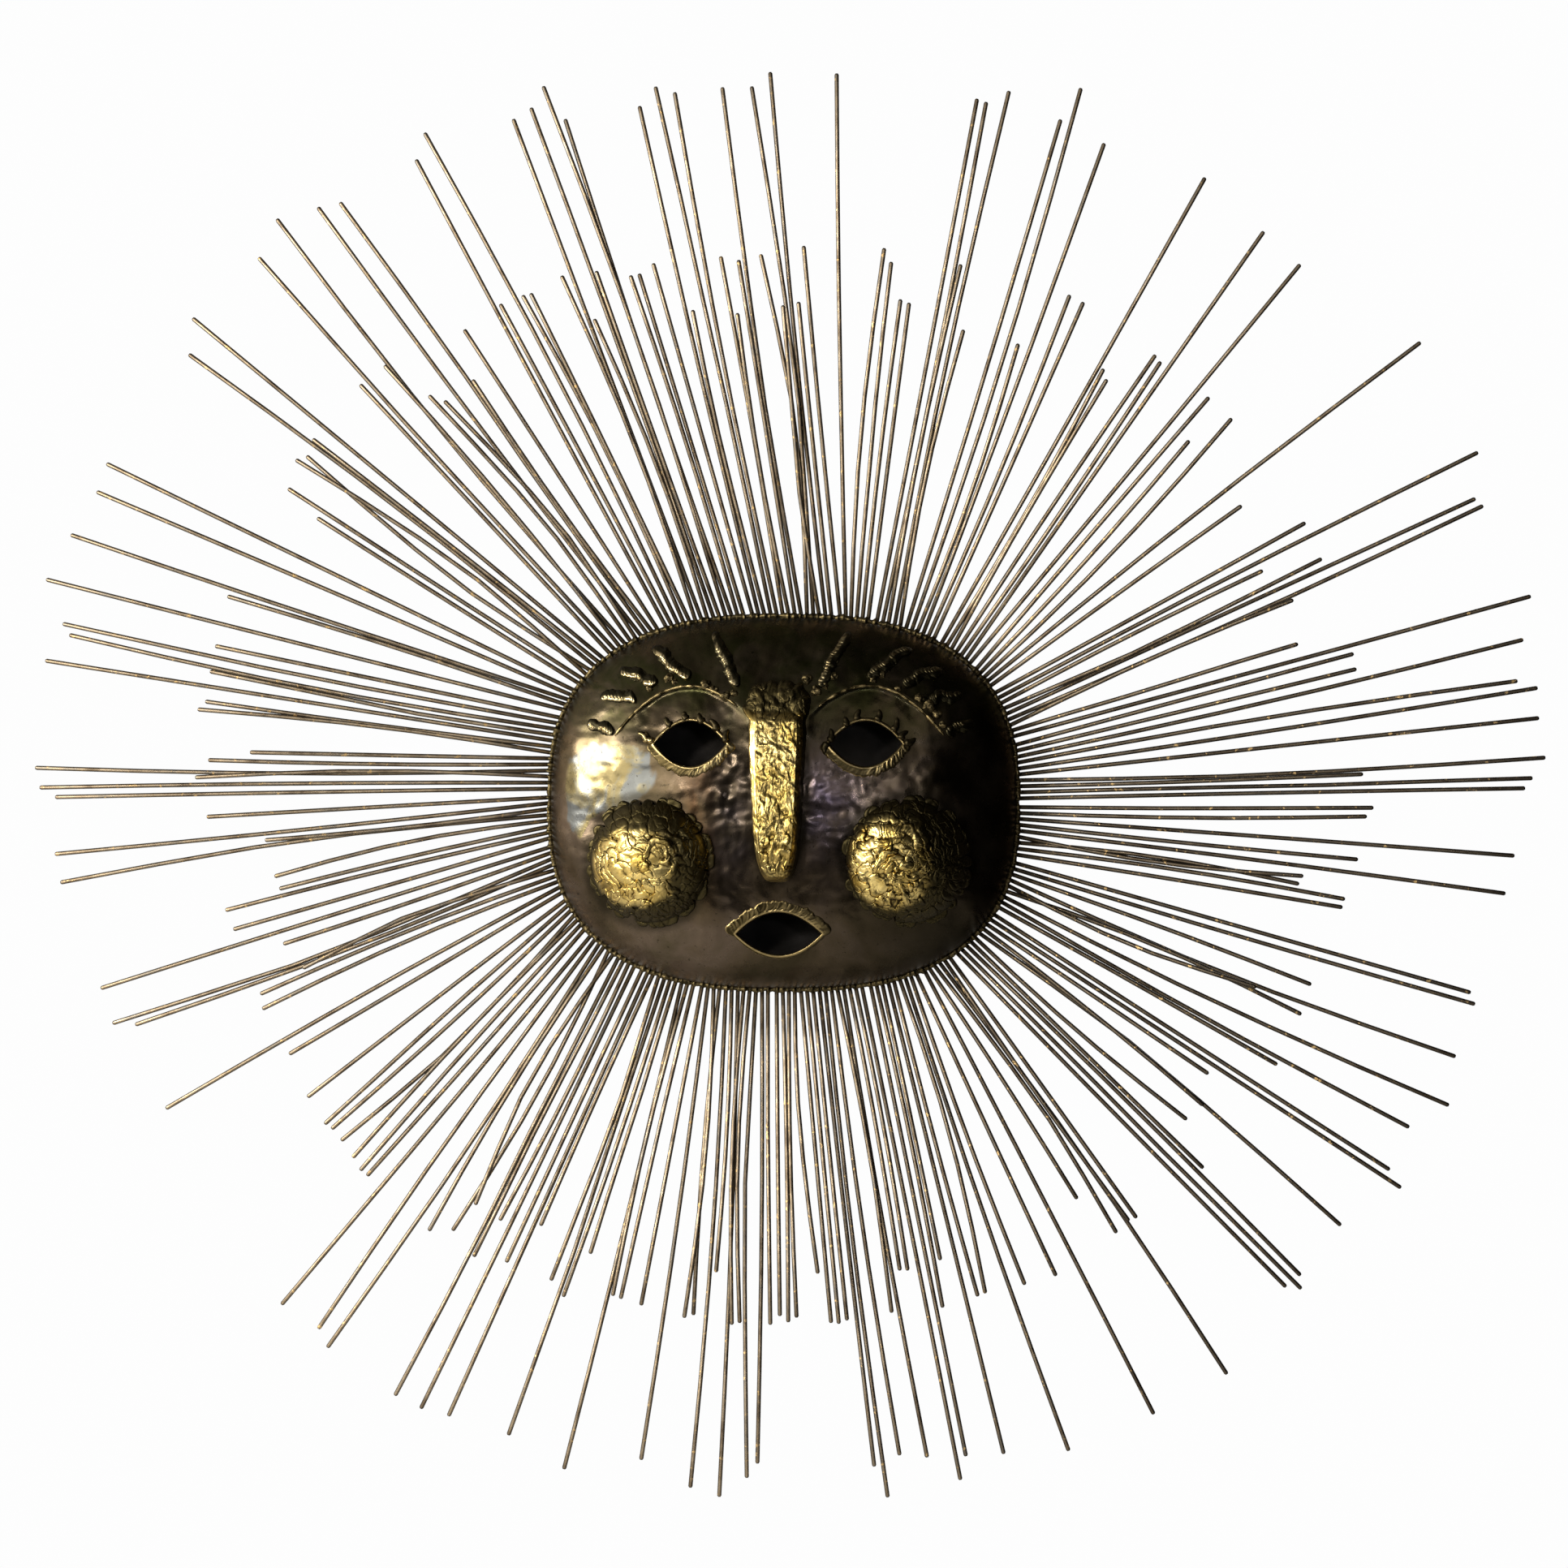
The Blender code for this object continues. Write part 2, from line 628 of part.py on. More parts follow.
def build_rays(shop):
    """Each bundle is a length of the rim bead with its rays fused to it."""
    rim = RimLine()
    counts = [len(word) - word.count(".") for word in RAY_RHYTHM]
    total = sum(counts)
    same_section = math.sqrt(math.pi / 2)
    first = 0
    for number, (word, count) in enumerate(zip(RAY_RHYTHM, counts)):
        start = first / total + BUNDLE_GAP / 2 / rim.length
        end = (first + count) / total - BUNDLE_GAP / 2 / rim.length
        steps = max(3, round((end - start) * rim.length / ARC_STEP))
        bead = []
        for step in range(steps + 1):
            place = rim.at(start + (end - start) * step / steps)
            depth = (BACK_ROW_DEPTH + FRONT_ROW_DEPTH) / 2
            bead.append((Vector((place.x, -depth, place.y - HANG_ABOVE_CENTRE)), 1.0))
        name = f"ray_bundle_{number + 1:02d}"
        mesh = tube_mesh(name, [bead], RIM_BEAD_SIDE / 2**0.5, roundness=0, turn=math.pi / 4)
        bundle = shop.piece(name, mesh, "rod_bronze")
        for index, route in enumerate(bundle_rays(number, word, first, total, rim)):
            stops = [(point, 1.0) for point in route]
            rod_name = f"rod_{number + 1:02d}_{index + 1:02d}"
            rod = tube_mesh(rod_name, [stops], ROD_DIAMETER / 2 * same_section, roundness=0)
            combine(bundle, shop.helper(rod_name, rod), "UNION")
        first += count


def main():
    clear_scene()
    shop = Workshop()
    envelope = face_envelope(shop)
    build_face(shop)
    build_back(shop)
    build_nose(shop, envelope)
    build_lips(shop, envelope)
    for side, word in ((-1, "left"), (1, "right")):
        build_eye_rim(shop, envelope, side, word)
        build_brow(shop, envelope, side, word)
        build_cheek(shop, envelope, side, word)
        for number, drip in enumerate(BROW_DRIPS, 1):
            build_drip(shop, envelope, side, word, number, drip)
    build_rays(shop)


main()
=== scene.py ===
# %% [markdown]
# # A brazed sun face
#
# The real piece is a wall sculpture made with a torch. A sheet of metal is hammered into a dome,
# three openings are cut in it, and molten brass is laid on as a nose, cheeks, brows and rims.
# Some two hundred brazing rods stand out from its edge as rays.
#
# The solids of each piece come first, as a fixed frame that gives every size and place.

# %% Load the frame
import math
import random
from contextlib import contextmanager

import bpy
import numpy as np
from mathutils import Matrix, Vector, noise


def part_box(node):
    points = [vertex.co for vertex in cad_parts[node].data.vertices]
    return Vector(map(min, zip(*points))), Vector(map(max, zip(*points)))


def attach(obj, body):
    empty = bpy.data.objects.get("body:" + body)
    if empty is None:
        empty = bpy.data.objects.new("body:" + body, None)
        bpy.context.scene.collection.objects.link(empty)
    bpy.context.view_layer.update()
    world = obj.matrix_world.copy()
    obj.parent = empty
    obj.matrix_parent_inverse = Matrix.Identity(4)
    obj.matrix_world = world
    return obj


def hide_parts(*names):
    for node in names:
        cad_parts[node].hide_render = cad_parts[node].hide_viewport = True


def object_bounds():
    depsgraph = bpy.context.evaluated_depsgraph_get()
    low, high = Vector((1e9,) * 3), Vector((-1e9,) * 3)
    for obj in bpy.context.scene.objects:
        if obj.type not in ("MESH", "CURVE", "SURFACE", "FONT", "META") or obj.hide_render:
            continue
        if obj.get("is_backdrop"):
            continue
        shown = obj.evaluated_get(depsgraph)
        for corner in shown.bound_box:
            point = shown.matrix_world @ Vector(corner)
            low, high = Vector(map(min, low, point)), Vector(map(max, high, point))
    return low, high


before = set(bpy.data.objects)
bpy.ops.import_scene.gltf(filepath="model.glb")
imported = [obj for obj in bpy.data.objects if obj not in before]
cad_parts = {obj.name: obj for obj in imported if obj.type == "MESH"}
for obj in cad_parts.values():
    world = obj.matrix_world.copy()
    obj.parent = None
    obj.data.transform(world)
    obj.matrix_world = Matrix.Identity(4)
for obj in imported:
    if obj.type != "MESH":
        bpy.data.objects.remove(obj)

solids_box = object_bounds()
print("solids:", [[round(value, 3) for value in corner] for corner in solids_box])

# %% [markdown]
# ## Sizes
#
# Every piece sits on the same domed face, so its size is read once from the solid of the sheet.
# The camera looks along +Y, +X is to the right and the wall is at Y = 0.
# The dome's curve is a formula. The pieces use it to find the height of the metal under them.

# %% The face's size and curve
face_low, face_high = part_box("face_shell")
HALF_WIDTH = (face_high.x - face_low.x) / 2
HALF_HEIGHT = (face_high.z - face_low.z) / 2
FACE_CENTRE = (face_high.z + face_low.z) / 2
FACE_DEPTH = -face_low.y
SKIRT_DEPTH = 0.010
SHEET_THICKNESS = 0.0016
SQUARENESS = 2.6
DOME_CREST, DOME_FALL = 2.3, 0.62

EYE_X, EYE_Z = 0.372 * HALF_WIDTH, 0.314 * HALF_HEIGHT
EYE_HALF = (0.157 * HALF_WIDTH, 0.125 * HALF_HEIGHT)
MOUTH_Z = -0.699 * HALF_HEIGHT
MOUTH_HALF = (0.183 * HALF_WIDTH, 0.118 * HALF_HEIGHT)
BROW_INNER, BROW_PEAK, BROW_OUTER = 0.17, 0.38, 0.70
BROW_TOP, BROW_BEND = 0.62, 2.6
LID_HOLLOW = 0.0024


def smooth_step(low, high, value):
    share = np.clip((value - low) / (high - low), 0.0, 1.0)
    return share * share * (3 - 2 * share)


def brow_height(x):
    """How high the brow stands over the face's centre, in metres."""
    return (BROW_TOP - BROW_BEND * (abs(x) / HALF_WIDTH - BROW_PEAK) ** 2) * HALF_HEIGHT


def dome(x, z):
    """Depth of the sheet's front before the wall. x and z are measured from the face's centre."""
    across, upright = np.abs(x) / HALF_WIDTH, np.abs(z) / HALF_HEIGHT
    share = (across**SQUARENESS + upright**SQUARENESS) ** (1 / SQUARENESS)
    rise = (1 - np.clip(share, 0, 1) ** DOME_CREST) ** DOME_FALL
    return SKIRT_DEPTH + (FACE_DEPTH - SKIRT_DEPTH) * rise


def lids(x, z):
    """The sheet is pressed in between each brow and its eye."""
    under_brow = smooth_step(-0.0004, 0.0026, brow_height(x) - z)
    above_eye = smooth_step(EYE_Z - 0.012, EYE_Z + 0.012, z)
    beside = smooth_step(0.036, 0.020, np.abs(np.abs(x) - EYE_X) - 0.014)
    return LID_HOLLOW * under_brow * above_eye * beside


def face_height(x, z):
    return dome(x, z) - lids(x, z)


def before_wall(x, height, z):
    """Points at a height off the wall. x and z are measured from the face's centre."""
    return np.stack([x, -height, z + FACE_CENTRE], axis=1)


def lay_on_face(obj, x, z, lift):
    """Moves a mesh's points to their places on the face, lifted above the sheet."""
    write_points(obj, before_wall(x, face_height(x, z) + lift, z))


def flat_points(x, z):
    return np.stack([x, x * 0, z], axis=1)


def oval_of(node):
    """The middle of a node and half its width and height, as seen from in front."""
    low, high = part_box(node)
    middle = ((low.x + high.x) / 2, (low.z + high.z) / 2 - FACE_CENTRE)
    return middle, ((high.x - low.x) / 2, (high.z - low.z) / 2)


print("face:", round(2 * HALF_WIDTH, 3), "by", round(2 * HALF_HEIGHT, 3), "m")

# %% [markdown]
# ## Tools for the bench
#
# Blender's operators work on whatever is selected, so each new piece starts from an empty selection.
# Edit mode is entered in a with block, which always leaves it again. A mesh's points are read and
# written as one array, which keeps the shaping steps short.

# %% Helpers for every piece
CREVICE, DARKNESS = "crevice", "darkness"
SAME_POINT = 0.000001


def deselect_all():
    for obj in bpy.context.selected_objects:
        obj.select_set(False)
    bpy.context.view_layer.objects.active = None


def only(obj):
    """Selects one object and makes it active."""
    deselect_all()
    obj.select_set(True)
    bpy.context.view_layer.objects.active = obj


@contextmanager
def editing(obj):
    """Edit mode with all of one object selected, for as long as the with block lasts."""
    only(obj)
    bpy.ops.object.mode_set(mode="EDIT")
    bpy.ops.mesh.select_all(action="SELECT")
    yield
    bpy.ops.object.mode_set(mode="OBJECT")


def start_with(primitive, name, **settings):
    """A new primitive, added while nothing else is selected."""
    deselect_all()
    primitive(**settings)
    bpy.context.object.name = name
    return bpy.context.object


def make_grid(name, columns, rows):
    grid = bpy.ops.mesh.primitive_grid_add
    return start_with(grid, name, x_subdivisions=columns, y_subdivisions=rows, size=2)


def add_object(name, data):
    obj = bpy.data.objects.new(name, data)
    bpy.context.collection.objects.link(obj)
    return obj


def read_points(obj, what="co"):
    points = np.empty(len(obj.data.vertices) * 3)
    obj.data.vertices.foreach_get(what, points)
    return points.reshape(-1, 3)


def write_points(obj, points):
    obj.data.vertices.foreach_set("co", np.ascontiguousarray(points, dtype=float).ravel())
    obj.data.update()


def mark(obj, name, values):
    """Stores one number for each point, for the material to read."""
    layer = obj.data.attributes.new(name=name, type="FLOAT", domain="POINT")
    layer.data.foreach_set("value", np.clip(values, 0, 1).astype(np.float32))


def apply_modifier(obj, kind, name, **settings):
    only(obj)
    modifier = obj.modifiers.new(name, kind)
    for key, value in settings.items():
        setattr(modifier, key, value)
    bpy.ops.object.modifier_apply(modifier=modifier.name)


def outward_normals(obj):
    with editing(obj):
        bpy.ops.mesh.normals_make_consistent(inside=False)


def close_up(obj):
    """Merges the points that meet, and turns the faces of the closed piece outwards."""
    with editing(obj):
        bpy.ops.mesh.remove_doubles(threshold=SAME_POINT)
    outward_normals(obj)


def join(first, *others):
    only(first)
    for obj in others:
        obj.select_set(True)
    bpy.ops.object.join()
    return first


def finish(obj, material, slot, *nodes):
    """Gives a piece its metal and hands it to the frame in place of its solids."""
    only(obj)
    bpy.ops.object.shade_smooth()
    obj.data.materials.clear()
    obj.data.materials.append(material)
    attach(obj, "root")
    if nodes:
        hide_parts(*nodes)
    print(obj.name, len(obj.data.polygons), "faces")


def rough(points, size, seed=0.0, octaves=3):
    """Fractal noise at each point, about -1 to 1. The size is that of its largest lumps."""
    shift = Vector((seed, seed * 1.7, -seed))
    return np.array([noise.fractal(Vector(p) / size + shift, 0.8, 2.0, octaves) for p in points])


def noise_at(places):
    """Plain noise at each place, an iterable of three numbers each."""
    return np.array([noise.noise(Vector(place)) for place in places])


# %% [markdown]
# ## Metals
#
# Everything is brass or bronze: the sheet with its heat-coloured patina, its painted shade and its painted
# reflection, braze that was brushed bright or left to tarnish, the drips' braze with a painted highlight,
# the rods, and a near-black sheet at the back that stands in for the shade seen through the openings. Each
# is one shader with noise for its colours. Braze also reads the crevice value that its piece stores, so
# that folds and seams go dark, partly as patina and partly as painted shade, and the crests shine.


# %% A small kit for building materials
class Nodes:
    """The nodes of a material or a world, added one by one."""

    def __init__(self, owner):
        owner.use_nodes = True
        self.tree = owner.node_tree

    def feed(self, socket, value):
        """Gives a socket a number, a colour or another node's output."""
        if isinstance(value, bpy.types.NodeSocket):
            self.tree.links.new(value, socket)
        else:
            socket.default_value = (*value, 1.0) if isinstance(value, tuple) else value

    def add(self, kind, **inputs):
        node = self.tree.nodes.new("ShaderNode" + kind)
        for name, value in inputs.items():
            self.feed(node.inputs[name.replace("_", " ")], value)
        return node

    def ramp(self, value, *stops):
        """Each stop is (position, colour or grey)."""
        ramp = self.add("ValToRGB", Fac=value)
        elements = ramp.color_ramp.elements
        while len(elements) < len(stops):
            elements.new(0.5)
        for element, (position, colour) in zip(elements, stops):
            element.position = position
            element.color = (*(colour if isinstance(colour, tuple) else (colour,) * 3), 1.0)
        return ramp.outputs["Color"]


class Metal(Nodes):
    """A metallic material whose patterns follow Object coordinates."""

    def __init__(self, name, roughness, metallic=1.0):
        self.material = bpy.data.materials.new(name)
        super().__init__(self.material)
        self.shader = self.tree.nodes["Principled BSDF"]
        self.shader.inputs["Metallic"].default_value = metallic
        self.shader.inputs["Roughness"].default_value = roughness
        self.place = self.add("TexCoord").outputs["Object"]

    def noise(self, scale, detail=4.0, distortion=0.0):
        inputs = {"Vector": self.place, "Scale": scale, "Detail": detail, "Distortion": distortion}
        return self.add("TexNoise", Roughness=0.55, **inputs).outputs["Fac"]

    def patches(self, scale, detail, *stops, distortion=0.0):
        return self.ramp(self.noise(scale, detail, distortion), *stops)

    def stored(self, name):
        attribute = self.add("Attribute")
        attribute.attribute_name = name
        return attribute.outputs["Fac"]

    def mix(self, share, first, second, blend="MIX"):
        mix = self.add("Mix")
        mix.data_type, mix.blend_type = "RGBA", blend
        for place, value in ((0, share), (6, first), (7, second)):
            self.feed(mix.inputs[place], value)
        return mix.outputs[2]

    def finished(self, colour, shine, grain_scale, detail, strength, distance):
        """Connects the colour and the roughness, with a fine bump."""
        grain = self.noise(grain_scale, detail)
        bump = self.add("Bump", Height=grain, Strength=strength, Distance=distance).outputs["Normal"]
        for name, value in (("Base Color", colour), ("Roughness", shine), ("Normal", bump)):
            self.feed(self.shader.inputs[name], value)
        return self.material


# %% [markdown]
# The sheet was heated until it turned brown. Beside the nose it went violet and copper red. The forehead
# is painted a darker olive towards the top, as painted shade, and a patch by the left cheek is painted pale,
# as a painted reflection of the window. Those places are stored on the sheet as numbers, further down. Here
# noise breaks up their borders and makes the polish uneven.

# %% Heat-coloured bronze for the sheet
OLIVE, COPPER, VIOLET, PAINTED_REFLECTION = "olive", "copper", "violet", "pale"
SHEET_TINTS = {OLIVE: (0.046, 0.046, 0.018), COPPER: (0.170, 0.080, 0.035), VIOLET: (0.150, 0.120, 0.150)}
BROWNS = (
    (0.32, (0.055, 0.043, 0.024)),
    (0.47, (0.105, 0.078, 0.050)),
    (0.60, (0.140, 0.105, 0.078)),
    (0.74, (0.085, 0.068, 0.040)),
)
REFLECTION_COLOURS = ((0.44, (0.150, 0.123, 0.062)), (0.51, (0.145, 0.134, 0.098)), (0.57, (0.118, 0.123, 0.124)))
SPECK, SHEET_SHADE_COLOUR = (0.022, 0.018, 0.012), (0.024, 0.020, 0.012)


def make_bronze():
    metal = Metal("heat_coloured_bronze", 0.3)
    base = metal.patches(16, 6, *BROWNS, distortion=0.5)
    breaks = metal.patches(38, 6, (0.36, 0.25), (0.64, 1.0), distortion=0.8)
    # Copper and violet are heat tints. The olive is painted shade, darker towards the top of the forehead.
    for name, colour in SHEET_TINTS.items():
        base = metal.mix(metal.mix(1.0, metal.stored(name), breaks, "MULTIPLY"), base, colour)
    # Painted reflection: a pale, mottled patch where the window would reflect, by the left cheek.
    pale = metal.patches(34, 5, *REFLECTION_COLOURS, distortion=0.8)
    ragged = metal.mix(1.0, metal.stored(PAINTED_REFLECTION), metal.noise(22, 8, 1.2), "MULTIPLY")
    base = metal.mix(metal.ramp(ragged, (0.24, 0.0), (0.28, 1.0)), base, pale)
    base = metal.mix(metal.patches(300, 2, (0.66, 0.0), (0.73, 0.75)), base, SPECK)
    # Painted shade: the darkness mark darkens the sheet round the braze and in two soft ovals.
    base = metal.mix(metal.ramp(metal.stored(DARKNESS), (0.0, 0.0), (1.0, 1.0)), base, SHEET_SHADE_COLOUR)
    polish = metal.patches(34, 6, (0.32, 0.19), (0.70, 0.36))
    return metal.finished(base, polish, 420, 3, 0.12, 0.0006)


# %% [markdown]
# Brushed braze is yellow brass. It dulls to brown where the brush can't reach, and its folds are darkened
# partly as patina and partly as painted crease shade.

# %% Bright and dark braze
FOLD_RANGE, STAIN_RANGE, STAIN_MOST = (0.34, 0.72), (0.52, 0.75), 0.65
DULL_ADDS, DARKEST_ADDS = 0.14, 0.2


def make_braze(name, crest, middle, fold, darkest, polish):
    """The colours are those of crests, of dull places, of folds, and of the darkest metal, which the darkness
    mark uses for tarnish and for painted shade.
    """
    metal = Metal(name, 0.3)
    tone = metal.patches(60, 5, (0.35, middle), (0.62, crest))
    # Folds and seams go dark, partly as patina and partly as painted crease shade.
    folds = metal.ramp(metal.stored(CREVICE), (FOLD_RANGE[0], 0.0), (FOLD_RANGE[1], 1.0))
    stain = metal.patches(24, 4, (STAIN_RANGE[0], 0.0), (STAIN_RANGE[1], STAIN_MOST), distortion=0.8)
    base = metal.mix(stain, metal.mix(folds, tone, fold), middle)
    # The darkness mark holds both real tarnish and painted shade.
    tarnish_and_shade = metal.ramp(metal.stored(DARKNESS), (0.0, 0.0), (1.0, 1.0))
    shine = metal.patches(90, 4, (0.35, polish), (0.70, polish + DULL_ADDS))
    shine = metal.mix(tarnish_and_shade, shine, (polish + DARKEST_ADDS,) * 3)
    return metal.finished(metal.mix(tarnish_and_shade, base, darkest), shine, 260, 4, 0.14, 0.0010)


# %% [markdown]
# The rods are dull brown, with a few bright flecks of spilled brass. Each rod is painted light along
# its front and nearly black at its sides, as painted highlight and shade.

# %% Rods and the back sheet
ROD_TONES = ((0.33, (0.360, 0.272, 0.185)), (0.52, (0.760, 0.605, 0.420)), (0.68, (0.520, 0.450, 0.360)))
# The colour of the painted shade on the rods' sides.
ROD_SHADE_COLOUR, FLECK = (0.012, 0.009, 0.007), (0.75, 0.52, 0.24)
# Near-black tones for the back sheet, which stands in for the shade seen through the openings.
BACK_SHADE_TONES = ((0.35, (0.010, 0.009, 0.008)), (0.7, (0.034, 0.028, 0.022)))


def make_rod_metal():
    metal = Metal("flecked_rod", 0.45, metallic=0.85)
    tone = metal.mix(metal.stored(DARKNESS), metal.patches(50, 4, *ROD_TONES), ROD_SHADE_COLOUR)
    base = metal.mix(metal.patches(220, 2, (0.64, 0.0), (0.70, 1.0)), tone, FLECK)
    return metal.finished(base, metal.patches(140, 3, (0.35, 0.34), (0.70, 0.58)), 220, 3, 0.12, 0.0006)


def make_back_metal():
    metal = Metal("shade_dark_back", 0.7, metallic=0.6)
    shine = metal.patches(40, 4, (0.3, 0.55), (0.7, 0.85))
    return metal.finished(metal.patches(14, 5, *BACK_SHADE_TONES), shine, 300, 3, 0.2, 0.0006)


BRONZE, ROD_METAL, BACK_METAL = make_bronze(), make_rod_metal(), make_back_metal()
BRIGHT_BRAZE = make_braze(
    "brushed_braze",
    (0.96, 0.75, 0.30), (0.60, 0.41, 0.095), (0.050, 0.030, 0.008), (0.044, 0.036, 0.017), polish=0.23,
)
DARK_BRAZE = make_braze(
    "tarnished_braze",
    (0.56, 0.43, 0.20), (0.27, 0.205, 0.095), (0.045, 0.034, 0.014), (0.040, 0.032, 0.017), polish=0.26,
)
# Braze for the drips. The light flank of each drip is a painted highlight.
DRIP_BRAZE = make_braze(
    "drip_braze",
    (0.86, 0.72, 0.42), (0.52, 0.40, 0.20), (0.060, 0.044, 0.018), (0.016, 0.015, 0.008), polish=0.20,
)
METALS = (BRONZE, BRIGHT_BRAZE, DARK_BRAZE, DRIP_BRAZE, ROD_METAL, BACK_METAL)
print("metals:", [metal.name for metal in METALS])

# %% [markdown]
# ## The hammered sheet
#
# A square grid is a good start for a dome. Each square ring of the grid is pulled out to the
# rounded oblong of the face, so the faces stay even and there is no pinched pole. Then every point
# is raised to the dome's curve, with shallow dents from the hammer.

# %% Pull a square grid into an oval
SHEET_CELLS = 200
FRONT_SHARE = 0.94
NO_REACH = 1e-9


def square_to_oval(points, squareness):
    """For each grid point: its share of the way out, and its place on an oval of half-width 1."""
    u, v = points[:, 0], points[:, 1]
    share = np.maximum(np.abs(u), np.abs(v))
    reach = (np.abs(u) ** squareness + np.abs(v) ** squareness) ** (1 / squareness)
    reach = np.where(reach < NO_REACH, 1.0, reach)
    return share, u / reach, v / reach


def fold_under(share):
    """Splits the rings of a grid: most make the front, and the last ones run back behind it to the middle."""
    front = np.where(share <= FRONT_SHARE, share / FRONT_SHARE, (1 - share) / (1 - FRONT_SHARE))
    return front, share > FRONT_SHARE


def folded_oval(obj, squareness):
    """The same for a piece that folds under: share, both places, and whether a point lies behind."""
    share, across, upright = square_to_oval(read_points(obj), squareness)
    front, behind = fold_under(share)
    return front, across, upright, behind


def edge_extrude(obj, y):
    """Runs an open sheet's edge straight back to a depth."""
    with editing(obj):
        bpy.ops.mesh.region_to_loop()
        bpy.ops.mesh.extrude_region_move()
    for vert in obj.data.vertices:
        if vert.select:
            vert.co.y = y


def soft_oval(x, z, middle, reach):
    """1 in the middle of an oval, fading to 0 well outside it."""
    return np.exp(-(((x - middle[0]) / reach[0]) ** 2 + ((z - middle[1]) / reach[1]) ** 2))


# %% The dented dome
HAMMER_DENT, BESIDE_NOSE_DENT = 0.0010, 0.0011
BESIDE_NOSE, BESIDE_NOSE_REACH = (0.038, 0.005), (0.020, 0.050)

sheet = make_grid("hammered_face", SHEET_CELLS, SHEET_CELLS)
share, ox, oz = square_to_oval(read_points(sheet), SQUARENESS)
x, z = ox * share * HALF_WIDTH, oz * share * HALF_HEIGHT
flat = flat_points(x, z)
dents = HAMMER_DENT * (rough(flat, 0.030, 3.0, 2) + 0.5 * rough(flat, 0.012, 8.0, 2))
beside_nose = soft_oval(np.abs(x), z, BESIDE_NOSE, BESIDE_NOSE_REACH)
dents += BESIDE_NOSE_DENT * beside_nose * rough(flat, 0.012, 15.0, 2)
dents *= smooth_step(1.0, 0.93, share)
lay_on_face(sheet, x, z, dents)
edge_extrude(sheet, 0.0)
outward_normals(sheet)
apply_modifier(sheet, "SOLIDIFY", "wall", thickness=SHEET_THICKNESS, offset=-1)
print("sheet:", len(sheet.data.polygons), "faces")

# %% [markdown]
# The eyes and the mouth were cut with a torch. Each cutter is a flat almond of points, filled and
# extruded through the whole depth, and a Boolean takes it away.

# %% Cut the three openings
ALMOND_STEPS = 24
BEHIND_WALL, PAST_FACE = 0.02, 0.04


def almond(place, half, steps):
    """A pointed oval, anticlockwise from its right-hand point, as an array of places."""
    t = 1 - 2 * np.arange(steps) / steps
    top = np.stack([place[0] + half[0] * t, place[1] + half[1] * (1 - t * t)], axis=1)
    bottom = np.stack([place[0] - half[0] * t, place[1] - half[1] * (1 - t * t)], axis=1)
    return np.concatenate([top, bottom])


def cut_opening(obj, place, half):
    outline = almond(place, half, ALMOND_STEPS)
    circle = bpy.ops.mesh.primitive_circle_add
    cutter = start_with(circle, "cutter", vertices=len(outline), fill_type="NGON")
    write_points(cutter, before_wall(outline[:, 0], np.full(len(outline), -BEHIND_WALL), outline[:, 1]))
    with editing(cutter):
        through = {"value": (0.0, -FACE_DEPTH - PAST_FACE, 0.0)}
        bpy.ops.mesh.extrude_region_move(TRANSFORM_OT_translate=through)
    outward_normals(cutter)
    apply_modifier(obj, "BOOLEAN", "opening", operation="DIFFERENCE", object=cutter, solver="EXACT")
    bpy.data.objects.remove(cutter)


for side in (-1, 1):
    cut_opening(sheet, (side * EYE_X, EYE_Z), EYE_HALF)
cut_opening(sheet, (0.0, MOUTH_Z), MOUTH_HALF)
print("sheet with its openings:", len(sheet.data.polygons), "faces")

# %% [markdown]
# The torch left its colours where it lingered. Each place is a soft oval, and the forehead's olive
# fades in with height. A dark ring just outside the cheeks and the nose is painted shade at their feet,
# and two soft ovals paint shade left of the nose and at the lower right.

# %% Heat marks, painted reflection and painted shade on the sheet
HEAT_TINTS_AND_REFLECTION = {
    COPPER: ((1.0, (-0.060, -0.012), (0.014, 0.050)),),
    VIOLET: ((1.0, (-0.038, -0.020), (0.014, 0.045)), (1.0, (0.040, 0.000), (0.022, 0.040))),
    # The pale places are a painted reflection of the window.
    PAINTED_REFLECTION: ((1.0, (-0.135, 0.022), (0.040, 0.030)), (0.8, (-0.163, -0.004), (0.013, 0.032))),
}
# Painted shade: darker left of the nose and at the lower right of the face.
SHADE_OVALS = ((0.85, (-0.046, -0.006), (0.038, 0.065)), (0.95, (0.14, -0.11), (0.11, 0.075)))


def ovals(x, z, places):
    """The sum of soft ovals, each (strength, middle, reach)."""
    return sum(strength * soft_oval(x, z, middle, reach) for strength, middle, reach in places)


def shade_ring(x, z, node):
    """Painted shade: a dark ring just outside a round piece of braze."""
    middle, reach = oval_of(node)
    share = np.hypot((x - middle[0]) / reach[0], (z - middle[1]) / reach[1])
    return 0.7 * smooth_step(1.16, 1.0, share)


points = read_points(sheet)
x, z = points[:, 0], points[:, 2] - FACE_CENTRE
# Painted shade: the forehead turns a darker olive towards the top.
mark(sheet, OLIVE, smooth_step(0.015, 0.095, z))
for name, places in HEAT_TINTS_AND_REFLECTION.items():
    mark(sheet, name, ovals(x, z, places))
painted_shade = np.max([shade_ring(x, z, node) for node in ("cheek_left", "cheek_right", "nose_bar")], axis=0)
mark(sheet, DARKNESS, np.maximum(painted_shade, ovals(x, z, SHADE_OVALS)))
finish(sheet, BRONZE, "bronze_sheet", "face_shell")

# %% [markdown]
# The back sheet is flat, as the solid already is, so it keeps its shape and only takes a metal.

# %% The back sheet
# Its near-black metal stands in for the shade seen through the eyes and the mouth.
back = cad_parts["back_sheet"]
back.data.materials.clear()
back.data.materials.append(BACK_METAL)

